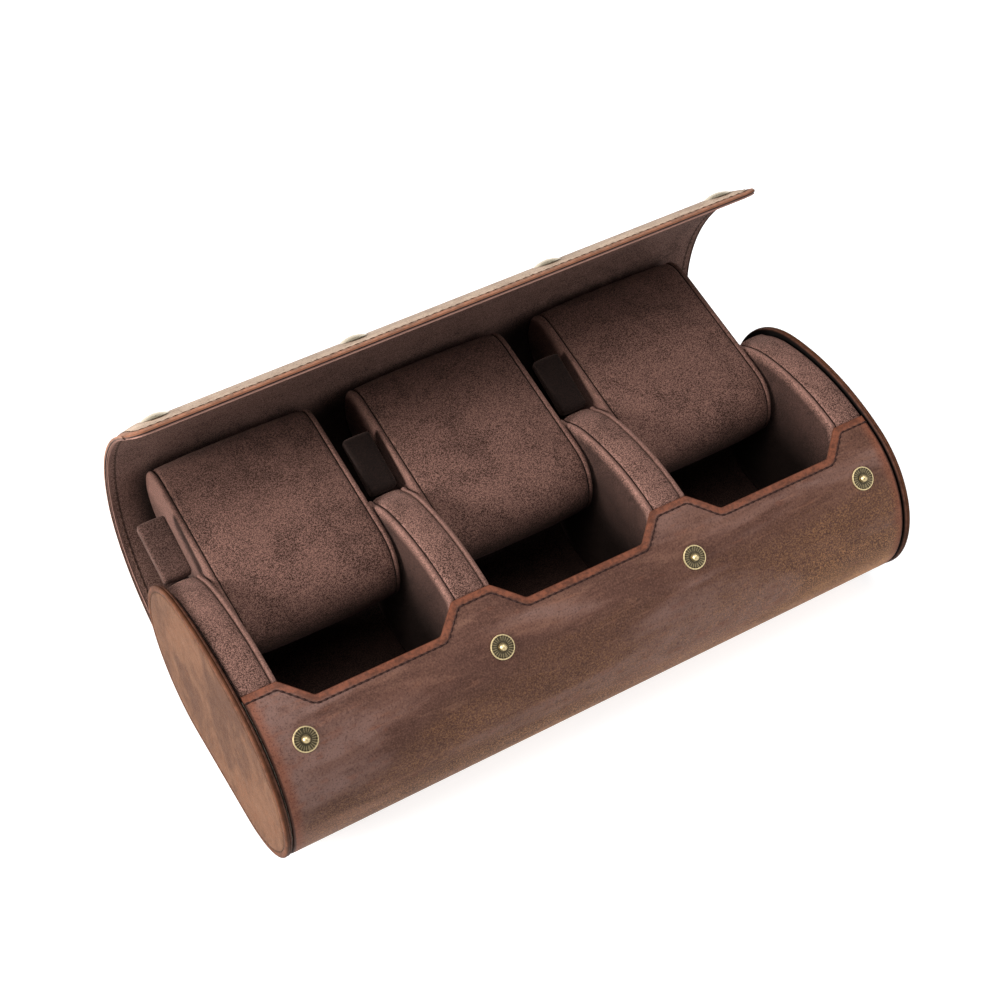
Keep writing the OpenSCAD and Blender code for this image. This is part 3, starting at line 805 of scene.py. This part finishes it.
def lid_sheet(name, low, high, half, setback, corner, depth, thick, round_r, press=()):
    """One length of the lid's leather or lining, from low to high along it. The lining, which has a
    depth, gives way to the sockets' mouths."""
    ex, es = lid_edge(half, setback, corner)
    corners = [k * (half - corner * c) for k in (-1, 1) for c in (1.0, 0.5, 0.2)]
    if high is None and depth:
        corners += [c + k for c in SNAP_X for k in (-3.6, 0, 3.6)]
    xs = across(half, corners, LID_COLUMN)
    end = LID_S - corner - EDGE_ZONE if high is None else high
    rows = [np.full_like(xs, p) for p in np.linspace(low, end, int((end - low) / LID_ROW))]
    if high is None:
        edge = np.interp(xs, ex, es)
        rows += [end + (edge - EDGE_STEPS[-1] - end) * t for t in np.linspace(0.1, 1.0, 10)]
        rows += [edge - e for e in reversed(EDGE_STEPS[:-1])]
        lines = [[(-half, low - 5)] + list(zip(ex, es))[::3] + [(half, es[-1]), (half, low - 5)]]
    else:
        lines = [[(k * half, low - 5), (k * half, high + 5)] for k in (-1, 1)]
    rows = np.array(rows)
    e = np.minimum.reduce([distance_to(line, np.broadcast_to(xs, rows.shape), rows) for line in lines])
    droop = DROOP * np.exp(-((e / DROOP_W) ** 2))
    if depth:
        mouth = np.min([np.hypot(xs - c, rows - SNAP_S) for c in SNAP_X], axis=0)
        hollow = MOUTH_DEPTH * np.clip((SOCKET_R - SOCKET_WALL - mouth) / 0.8, 0, 1)
        thick = thick - np.maximum(droop, hollow)
    return sheet_piece(name, LID, xs, rows, depth + droop, thick, lines, round_r, press)


def lid_pieces():
    """Leather and lining of the lid's three lengths; the first covers the root's too."""
    for part, low, high, bodies, run in LID_PARTS:
        leather = lid_sheet(part + "_cover", low, high, LID_L / 2, 0, CORNER_R, 0, LEATHER_T, 0.5,
                            [(LID_SEAM, 0.5, 0.14), (0.0, 2.8, 0.6), (9.0, 4.5, -0.35)])
        paint(leather, LID_LEATHER)
        lining = lid_sheet(part + "_suede", low, high, LID_L / 2 - 0.5, LID_SETBACK, CORNER_R - 0.6,
                           LINING_DEPTH, LID_LINING_T, 0.7)
        paint(lining, LID_SUEDE)
        names = ("lid_root", "lid_back") if part == "lid_back" else (part,)
        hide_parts(*(n + "_leather" for n in names))
        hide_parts(*(n + "_lining" for n in names))
        lid_blend(leather, run)
        lid_blend(lining, run)


# ---- end caps
def full_oval():
    """The end cap's outline, all the way round."""
    return Outline([
        straight(FOOT_Y, 0, -FOOT_Y, 0, -90),
        arc(-FOOT_Y, WIDE_Z, FOOT_R, -90, -180),
        arc(-SHOULDER_Y, WIDE_Z, SHOULDER_R, 180, 90 + TANGENT),
        arc(0, CROWN_Z, CROWN_R, 90 + TANGENT, 90 - TANGENT),
        arc(SHOULDER_Y, WIDE_Z, SHOULDER_R, 90 - TANGENT, 0),
        arc(FOOT_Y, WIDE_Z, FOOT_R, 0, -90),
    ])


OVAL, OVAL_MIDDLE, OVAL_SPAN = full_oval(), 40, 45
CAP_FACE = [(1.62, 1.4), (1.61, 0.7), (1.55, 0.42), (1.3, 0.3), (0.95, 0.25), (0.6, 0.3), (0.32, 0.5),
            (0.12, 0.85), (0.02, 1.35), (0.0, 1.9), (0.06, 2.3), (0.25, 2.65), (0.38, 2.9), (0.28, 3.2),
            (0.1, 3.6), (0.02, 4.2), (0.0, 5.5), (0.0, 9.0), (0.0, 14.0)]
CAP_RIM = [(3.48, 6.0), (3.48, 3.6), (2.8, 3.2), (2.75, 1.3), (2.65, 0.8), (2.4, 0.5), (2.05, 0.34),
           (1.8, 0.32), (1.69, 0.42), (1.64, 0.7), (1.63, 3.0)]


def ring_solid(name, rings, centre_low, centre_high, **values):
    """A solid of rings (x, y, z), closed at both ends on a centre point, with a value for each ring."""
    n, count = len(rings[0]), len(rings)
    pts = np.concatenate([np.asarray(r) for r in rings] + [[centre_low], [centre_high]])
    faces = grid_quads(count, n, wrap=True)
    for j in range(n):
        k = (j + 1) % n
        faces.append((count * n, k, j))
        faces.append((count * n + 1, (count - 1) * n + j, (count - 1) * n + k))
    data = {key: np.concatenate([np.repeat(v, n), [v[0], v[-1]]]) for key, v in values.items()}
    return closed_mesh(name, pts, faces, data)


def ring_steps(profile, fill_low, fill_high, dome=0.0):
    """(place, inset, size) of each ring: growing from one middle, along the profile, and shrinking to
    the other middle, with both faces domed."""
    (low, low_t), (high, high_t) = profile[0], profile[-1]
    return ([(low - dome * (1 - k * k), low_t, k) for k in fill_low] + [(x, t, 1) for x, t in profile]
            + [(high + dome * (1 - k * k), high_t, k) for k in fill_high])


def cap_rings(side, profile, fill_low, fill_high):
    """An end cap's rings from a profile of (distance from its outer face, inset)."""
    s = np.linspace(0, OVAL.length, 281)[:-1]
    rings, cut = [], []
    for depth, inset, shrink in ring_steps(profile, fill_low, fill_high):
        y, z, _, _ = OVAL.at(s, inset)
        rings.append(in_space(side * (CASE_L / 2 - depth), y * shrink,
                              OVAL_MIDDLE + (z - OVAL_MIDDLE) * shrink))
        cut.append(inset + (1 - shrink) * OVAL_SPAN)
    ends = [(side * (CASE_L / 2 - depth), 0, OVAL_MIDDLE) for depth, _ in (profile[0], profile[-1])]
    return rings, np.array(cut), *ends


def end_caps():
    """Each cap's leather face, turned over its edge, its rolled rim and its sewn line."""
    for side, where in ((-1, "left"), (1, "right")):
        rings, cut, low, high = cap_rings(side, CAP_FACE, (0.4, 0.97), (0.8, 0.55, 0.28))
        piece = ring_solid(where + "_cap_face", rings, low, high, cut=cut, inside=cut * 0)
        paint(piece, CAP_LEATHER)
        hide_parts(where + "_cap_leather")
        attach(piece, "case")
        rings, cut, low, high = cap_rings(side, CAP_RIM, (0.5, 0.95), (0.95, 0.5))
        # painted shade: the rim's faces inside the narrow gap take the near-black back colour
        slot_shade = np.array([1.0] * 6 + [0.75] + [0.0] * (len(cut) - 7))
        piece = ring_solid(where + "_cap_rim", rings, low, high, cut=cut + 0.9, inside=slot_shade)
        paint(piece, RIM_LEATHER)
        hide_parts(where + "_cap_board")
        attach(piece, "case")
        y, z, _, _ = OVAL.at(np.append(np.linspace(0, OVAL.length, 400)[:-1], 0), CAP_SEAM)
        piece = stitches(where + "_cap_stitches", [in_space(side * (CASE_L / 2 - 0.3), y, z)], CAP_THREAD,
                         pitch=3.2, length=2.4, width=0.55)
        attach(piece, "case")


# ---- dividers
LID_ROOM = 2.2


def top_height(y, inset):
    """Height of the section, moved inwards, over a place y."""
    y = np.abs(np.asarray(y, float))
    crown = CROWN_Z + np.sqrt(np.maximum((CROWN_R - inset) ** 2 - y**2, 0))
    shoulder = WIDE_Z + np.sqrt(np.maximum((SHOULDER_R - inset) ** 2 - (y - SHOULDER_Y) ** 2, 0))
    return np.where(y < (CROWN_R - inset) * math.sin(math.radians(TANGENT)), crown, shoulder)


def even_line(points, step):
    """Points at even steps round a closed line."""
    p = np.asarray(points, float)
    p = np.concatenate([p, p[:1]])
    run = np.concatenate([[0], np.cumsum(np.hypot(*np.diff(p, axis=0).T))])
    s = np.linspace(0, run[-1], int(run[-1] / step) + 1)[:-1]
    return np.stack([np.interp(s, run, p[:, 0]), np.interp(s, run, p[:, 1])], 1)


def divider_outline(drop):
    """The divider's side, from under the front edge over the crest to the tongue's place."""
    inner = INNER_INSET + 0.25
    front = section(inner, TAB_Y - 0.4)
    y, z, _, _ = front.at(np.linspace(0, front.length, 400))
    keep = (y < 15) & ~((z > 60) & (y > -23.4))
    pts = list(zip(y[keep], z[keep]))
    crest = np.linspace(-TAB_Y + 0.9, CREST_END - 0.6, 70)
    pts += zip(crest, np.minimum(*(top_height(crest + gap, PANEL_INSET + drop) for gap in (0, LID_ROOM))))
    py, pz = PIVOT
    pts += [(py + 2.5, pz + 0.25), (py + 3.2, pz - 0.7)]
    pts += [(py + 3.35 * c, pz + 3.35 * s) for c, s in map(ways, (-25, -45, -62))]
    pts += [(CREST_END - 1.2, pz - 4.3), (CREST_END - 3.6, pz - 5.6), (48.3, 38.9), (52.6, 35.4)]
    r = FOOT_R - inner
    pts += [(FOOT_Y - LID_ROOM + r * c, WIDE_Z - 1 + r * s) for c, s in map(ways, np.linspace(-4, -90, 24))]
    return np.array(pts)


def line_normals(p):
    """Outward normals of a closed line that runs with its inside to one hand."""
    d = np.roll(p, -1, 0) - np.roll(p, 1, 0)
    d /= np.hypot(*d.T)[:, None]
    n = np.stack([d[:, 1], -d[:, 0]], 1)
    area = np.sum(p[:, 0] * np.roll(p[:, 1], -1) - np.roll(p[:, 0], -1) * p[:, 1])
    return n if area > 0 else -n


def slab(name, outline, profile, centre=(-2.0, 41.0), fill=(0.35, 0.7, 0.92, 0.985), dome=0.0, rub=0.0,
         sewn=(True, True)):
    """A padded slab: its outline moved inwards by the profile's inset at each x. It is sewn on at
    its low or high side, or at both."""
    n, c = line_normals(outline), np.array(centre)
    x0, x1 = profile[0][0], profile[-1][0]
    rings, values = [], []
    for x, inset, k in ring_steps(profile, fill, fill[::-1], dome):
        p = c + (outline - n * inset - c) * k
        rings.append(in_space(x, p[:, 0], p[:, 1]))
        # deep marks a domed slab's face inside its rim, where the suede paints shade on it
        values.append((inset if k == 1 and sewn[int(x > (x0 + x1) / 2)] else 0.0,
                       rub if k == 1 and inset < 0.45 else 0.0,
                       min(1.0, (1 - k) * 12) if dome else 0.0))
    seam, rubbed, deep = np.array(values).T
    return ring_solid(name, rings, (x0 - dome, *c), (x1 + dome, *c), seam=seam, rub=rubbed, deep=deep)


def side_panel(name, outline, low, high, turned_round):
    """A suede panel sewn to its band at one side, with a rubbed bead round its face."""
    return slab(name, outline, bead_profile(low, high, 0.0, turned_round), dome=0.3, rub=1.0,
                sewn=(not turned_round, turned_round))


BAND = ((1, 1.25), (0.992, 0.75), (0.95, 0.45), (0.9, 0.2), (0.8, 0.03), (0.6, -0.175), (0.3, -0.315),
        (0, -0.35))
BEAD = ((0.0, 1.5), (0.03, 0.9), (0.13, 0.44), (0.3, 0.1), (0.5, 0.0), (0.68, 0.08), (0.84, 0.3),
        (0.95, 0.6), (1.0, 1.2))


def band_profile(low, high):
    """Across a sewn band: turned in at both seams and crowned between them."""
    mid, half = (low + high) / 2, (high - low) / 2
    return [(mid - k * half, t) for k, t in BAND] + [(mid + k * half, t) for k, t in BAND[-2::-1]]


def bead_profile(low, high, drop, turned_round):
    """Across a side panel's rim: a round bead beside the seam."""
    out = [(low + k * (high - low), t + drop) for k, t in BEAD]
    return [(low + high - x, t) for x, t in reversed(out)] if turned_round else out


def dividers():
    """Two dividers between the wells and two against the end caps: a band and its side panels."""
    band_line, side_line = (even_line(divider_outline(drop), 1.9) for drop in (0.35, 0.75))
    half, edge, gap = MID_DIV_T / 2 - SIDE_T, MID_DIV_T / 2, 0.03
    for side, where in ((-1, "left"), (1, "right")):
        x = side * MID_X
        band = slab(where + "_mid_divider_band", band_line, band_profile(x - half + gap, x + half - gap))
        sides = join(where + "_mid_divider_sides",
                     [side_panel("panel", side_line, x + half, x + edge, False),
                      side_panel("panel", side_line, x - edge, x - half, True)])
        end, inner = side * INNER_L / 2, side * (INNER_L / 2 - END_DIV_T + SIDE_T)
        end_band = slab(where + "_end_divider_band", band_line,
                        band_profile(*sorted((end - side * 0.15, inner + side * gap))))
        end_side = side_panel(where + "_end_divider_side", side_line,
                              *sorted((inner, inner - side * SIDE_T)), side > 0)
        for piece, node in ((band, where + "_mid_divider"), (sides, where + "_mid_sides"),
                            (end_band, where + "_end_divider"), (end_side, where + "_end_side")):
            paint(piece, CASE_SUEDE)
            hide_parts(node)
            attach(piece, "case")


def turned(p, angle):
    """Points (y, z) turned by degrees about zero."""
    c, s = ways(angle)
    return np.stack([p[:, 0] * c - p[:, 1] * s, p[:, 0] * s + p[:, 1] * c], 1)


def tongues():
    """Padded bars that lie on from the crests, sewn round their edges."""
    r, pts = 1.5, []
    for cu, cv, a0 in ((TONGUE_L - r, -r, 90), (TONGUE_L - r, -TONGUE_T + r, 0), (r, -TONGUE_T + r, -90),
                       (r, -r, -180)):
        pts += [(cu + r * c, cv + r * s) for c, s in map(ways, np.linspace(a0, a0 - 90, 7))]
    raised = np.add(PIVOT, (3.3, 3.0)) + turned(even_line(pts, 1.0), TONGUE_RISE)
    folded = PIVOT + turned(raised - PIVOT, -TONGUE_FOLD)
    end_w, mid_w = END_DIV_T - SIDE_T, MID_DIV_T - 2 * SIDE_T
    end_x = INNER_L / 2 - end_w / 2
    for where, x, w in (("left_end", -end_x, end_w), ("left_mid", -MID_X, mid_w),
                        ("right_mid", MID_X, mid_w), ("right_end", end_x, end_w)):
        h = (w - 0.8) / 2
        profile = [(-h + 0.05, 1.9), (-h, 1.2), (-h + 0.08, 0.75), (-h + 0.4, 0.28), (-h + 1.0, 0.06),
                   (-h + 2.2, -0.03), (-h / 3, -0.12)]
        profile += [(-px, t) for px, t in reversed(profile)]
        stored = where == "right_end"
        line = folded if stored else raised
        piece = slab(where + "_tongue_pad", line, [(x + px, t) for px, t in profile], line.mean(0),
                     fill=(0.4, 0.8))
        piece.data.attributes.remove(piece.data.attributes["seam"])
        # the tongue suede is darker with painted shade
        paint(piece, SHADED_TONGUE_SUEDE)
        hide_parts(where + "_tongue")
        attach(piece, "case" if stored else where + "_tongue")


# ---- pillows
BACK_FULL = 2.8
CLOTH_START, CLOTH_STEPS, CLOTH_VOXEL = 0.985, 20, 0.0045


def capsule_line():
    """The pillow's side outline in its own frame: two round ends, one fuller on top, and two flats."""
    half, r, pts = PILLOW_CORE / 2, PILLOW_R, []
    for c, s in map(ways, np.linspace(90, -90, 41)):
        full = (c**BACK_FULL + s**BACK_FULL) ** (-1 / BACK_FULL) if s > 0 else 1.0
        pts.append((half + r * c * full, r * s * full))
    pts += [(-half + r * c, r * s) for c, s in map(ways, np.linspace(270, 90, 41))]
    return even_line(pts, 1.6)


def places(mesh):
    """A mesh's points as an array."""
    co = np.empty(len(mesh.vertices) * 3)
    mesh.vertices.foreach_get("co", co)
    return co.reshape(-1, 3)


def swell(obj, cap, weights):
    """Blows a padded piece up as cloth: a remeshed copy is simulated, and its movement, capped,
    is carried back to the sewn piece where weights allow."""
    scene = bpy.context.scene
    co = places(obj.data)
    middle = co.mean(0)
    copy = obj.copy()
    copy.data = obj.data.copy()
    copy.data.vertices.foreach_set("co", (middle + (co - middle) * CLOTH_START).ravel())
    scene.collection.objects.link(copy)
    remesh = copy.modifiers.new("remesh", "REMESH")
    remesh.mode = "VOXEL"
    remesh.voxel_size = CLOTH_VOXEL
    dense = evaluated(copy)
    copy.modifiers.clear()
    copy.data = dense
    cloth = copy.modifiers.new("cloth", "CLOTH")
    s = cloth.settings
    s.quality, s.mass = 6, 0.25
    s.tension_stiffness = s.compression_stiffness = 25
    s.shear_stiffness, s.bending_stiffness = 12, 2.0
    s.use_pressure, s.uniform_pressure_force = True, 4.0
    s.effector_weights.gravity = 0
    cloth.collision_settings.use_collision = False
    start = places(dense)
    for step in range(CLOTH_STEPS):
        scene.frame_set(step + 1)
    shift = places(evaluated(copy)) - start
    tree = KDTree(len(start))
    for i, p in enumerate(start):
        tree.insert(p, i)
    tree.balance()
    out = np.zeros_like(co)
    for i, p in enumerate(co):
        near = tree.find_n(middle + (p - middle) * CLOTH_START, 8)
        w = np.array([1 / (d + 0.001) for _, _, d in near])
        out[i] = (shift[[k for _, k, _ in near]] * w[:, None]).sum(0) / w.sum()
    size = np.linalg.norm(out, axis=1)
    out *= (np.minimum(size, cap) / np.maximum(size, 1e-9))[:, None] * weights[:, None]
    obj.data.vertices.foreach_set("co", (co + out).ravel())
    obj.data.update()
    bpy.data.objects.remove(copy)
    scene.frame_set(1)


def pillow_rings(index):
    """The maker of one pillow's rings from a profile; dents are the same for its band and its sides."""
    line = capsule_line()
    n = line_normals(line)
    half, seam = PILLOW_W / 2, PILLOW_W / 2 - CHEEK_T
    rng = np.random.default_rng(40 + index)
    c, s = ways(PILLOW_TILT)
    x0 = index * PITCH
    centre = np.array([x0, *PILLOW_C])
    dents = [(rng.uniform(-24, 24), rng.uniform(-26, 26), rng.uniform(9, 15), rng.uniform(0.15, 0.4))
             for _ in range(7)]
    front = np.clip((-line[:, 0] - 22) / 22.5, 0, 1) ** 2

    def rings(profile, fill, cheek):
        out, weights, seams = [], [], []
        for x, inset, k in ring_steps(profile, fill, fill[::-1], CHEEK_DOME if cheek else 0.0):
            soft = 0.0 if cheek or k != 1 else max(0.0, 1 - (abs(x) / (seam - 1.0)) ** 4)
            tight = inset + 0.55 * front * (abs(x) / half) ** 6
            p = (line - n * tight[:, None]) * k
            xs = x * (1 - 0.05 * front * (abs(x) / half) ** 2)
            for dx, du, w, deep in dents if soft else ():
                near = np.exp(-((xs - dx) ** 2 + (p[:, 0] - du) ** 2) / w**2) * (p[:, 1] > 8)
                p = p - n * (deep * near * soft)[:, None]
            out.append(in_space(x0 + xs, PILLOW_C[0] + p[:, 0] * c - p[:, 1] * s,
                                PILLOW_C[1] + p[:, 0] * s + p[:, 1] * c))
            weights.append(np.full(len(p), soft))
            seams.append(inset if k == 1 and (not cheek or abs(x) < half - CHEEK_T / 2) else 0.0)
        ends = [centre + [x, 0, 0] for x in (profile[0][0], profile[-1][0])]
        return out, ends, np.concatenate(weights + [[0, 0]]), np.array(seams)

    return rings


def pillows():
    """Three pillows, each a soft band between two side panels, sewn at two seams near its sides."""
    half, seam = PILLOW_W / 2, PILLOW_W / 2 - CHEEK_T
    profile = [(-seam + 0.02, 1.5), (-seam + 0.1, 0.95), (-seam + 0.35, 0.5), (-seam + 1.0, 0.2),
               (-seam + 2, 0.05)]
    profile += [(x, -0.75 * (1 - (abs(x) / (seam - 2)) ** 2.6)) for x in np.linspace(-seam + 4, 0, 12)]
    profile += [(-x, t) for x, t in reversed(profile[:-1])]
    for index, where in ((-1, "left"), (0, "mid"), (1, "right")):
        rings = pillow_rings(index)
        made, ends, weights, seams = rings(profile, (0.3, 0.75), False)
        band = ring_solid(where + "_pillow_band", made, *ends, seam=seams, rub=seams * 0)
        swell(band, PILLOW_SWELL * MM, weights)
        panels = []
        for bead in (bead_profile(seam - 0.02, half, 0.12, False),
                     bead_profile(-half, -seam + 0.02, 0.12, True)):
            made, ends, _, seams = rings(bead, (0.35, 0.7, 0.92, 0.98), True)
            panels.append(ring_solid("panel", made, *ends, seam=seams, rub=seams * 0 + 0.7))
        cheeks = join(where + "_pillow_sides", panels)
        for piece, node in ((band, where + "_pillow"), (cheeks, where + "_pillow_cheeks")):
            paint(piece, PILLOW_SUEDE)
            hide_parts(node)
            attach(piece, where + "_pillow")


# ---- sewn lines
def inset_line(xs, ss, inset):
    """A line at an even distance inside a cut edge given in (x, s), free of loops."""
    p = np.stack([xs, ss], 1)
    n = line_normals(p)
    n[0], n[-1] = n[1], n[-2]
    if np.median(n[:, 1]) > 0:
        n = -n
    q = p + n * inset
    keep = distance_to(p[::2], q[:, 0], q[:, 1]) > inset - 0.06
    return q[keep]


def panel_stitches():
    """The seam along the panel's notched edge."""
    keep = np.abs(EDGE_X) < INNER_L / 2 - 0.2
    x, s = inset_line(EDGE_X[keep], EDGE_S[keep], PANEL_SEAM).T
    keep = np.abs(x) < INNER_L / 2 - 1.0
    y, z, _, _ = WRAP.at(s[keep], 0.02)
    piece = stitches("panel_stitches", [in_space(x[keep], y, z)], DARK_THREAD, 2.8, 2.2, 0.95)
    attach(piece, "case")


SEAM_TURN, SEAM_SUNK = 12, 1.34


def lid_stitches():
    """The seam round the lid, on its leather and on its lining, in one piece for each bend."""
    half = LID_L / 2 - LID_SEAM
    ex, es = lid_edge(half, LID_SEAM, CORNER_R - LID_SEAM)

    def run(x, s, depth):
        y, z, _, _ = LID.at(s, depth)
        return in_space(x, y, z)

    for part, low, high, bodies, bend in LID_PARTS:
        top = LID_S - SEAM_TURN if high is None else high
        for face, depth in (("outer", SEAM_SUNK), ("inner", LID_T - 0.06)):
            lines = [run(k * half, np.linspace(low, top, 90), depth) for k in (-1, 1)]
            if high is None:
                left, right = (run(k * half, np.linspace(top, LID_S - CORNER_R, 6), depth)
                               for k in (-1, 1))
                lines.append(np.concatenate([left, run(ex, es, depth), right[::-1]]))
            piece = stitches(part + "_" + face + "_stitches", lines, LID_THREAD, pitch=3.4, length=2.4,
                             width=0.55)
            lid_blend(piece, bend)


# ---- metal and board
def carried_over():
    """Finishes for the CAD nodes that stay."""
    for node, finish in (("snap_studs", STUD_BRASS), ("stud_backs", CAP_BRASS), ("snap_caps", CAP_BRASS),
                         ("snap_sockets", CAP_BRASS), ("body_board", BOARD)):
        paint(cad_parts[node], finish)


# ---- studio
FLOOR_R, FLOOR_Z = 4.0, -0.0002
LAMPS = (("key", (-1.7, 0.22, 0.62), 0.7, 88, (1.0, 0.99, 0.97)),
         ("top", (-0.12, -0.1, 1.5), 1.0, 20, (1.0, 0.995, 0.985)),
         ("fill", (0.9, -1.2, 0.8), 1.2, 13, (0.97, 0.985, 1.0)))
LIT, WHITE, WORLD_LIGHT, FLOOR_GLOW = Vector((0, 0.02, 0.05)), (1.0, 1.0, 1.0), 0.24, 0.74
CAMERA_AT, LENS, SENSOR, FARTHEST = (-0.28296, -0.39935, 0.68013), 70.99, 36.0, 20.0
RIGHT, DOWN, AHEAD = ((0.85844, -0.51159, 0.03678), (-0.37571, -0.67602, -0.63391),
                      (0.34916, 0.53036, -0.77253))


def studio():
    """A pale floor, three soft lamps, a dim world and the camera."""
    scene = bpy.context.scene
    scene.view_settings.view_transform = "Standard"
    mesh = bpy.data.meshes.new("floor")
    r, z = FLOOR_R, FLOOR_Z
    mesh.from_pydata([(-r, -r, z), (r, -r, z), (r, r, z), (-r, r, z)], [], [(0, 1, 2, 3)])
    mesh.materials.append(Finish("pale_floor").end(
        Base_Color=(0.45, 0.45, 0.45), Roughness=0.9, Specular_IOR_Level=0.1, Emission_Color=WHITE,
        Emission_Strength=FLOOR_GLOW))
    placed("floor", mesh)
    world = bpy.data.worlds.new("studio")
    world.use_nodes = True
    sky = world.node_tree.nodes["Background"].inputs
    sky["Color"].default_value, sky["Strength"].default_value = (*WHITE, 1), WORLD_LIGHT
    scene.world = world
    for name, place, size, power, colour in LAMPS:
        light = bpy.data.lights.new(name, "AREA")
        light.size, light.energy, light.color = size, power, colour
        lamp = placed(name, light)
        lamp.location = place
        lamp.rotation_euler = (LIT - Vector(place)).to_track_quat("-Z", "Y").to_euler()
    data = bpy.data.cameras.new("camera")
    data.lens, data.sensor_width, data.clip_end = LENS, SENSOR, FARTHEST
    scene.camera = placed("camera", data)
    turn = Matrix((RIGHT, [-v for v in DOWN], [-v for v in AHEAD])).transposed().to_4x4()
    scene.camera.matrix_world = Matrix.Translation(CAMERA_AT) @ turn


studio()
carried_over()
shell_leather()
shell_lining()
lid_pieces()
end_caps()
dividers()
tongues()
pillows()
panel_stitches()
lid_stitches()
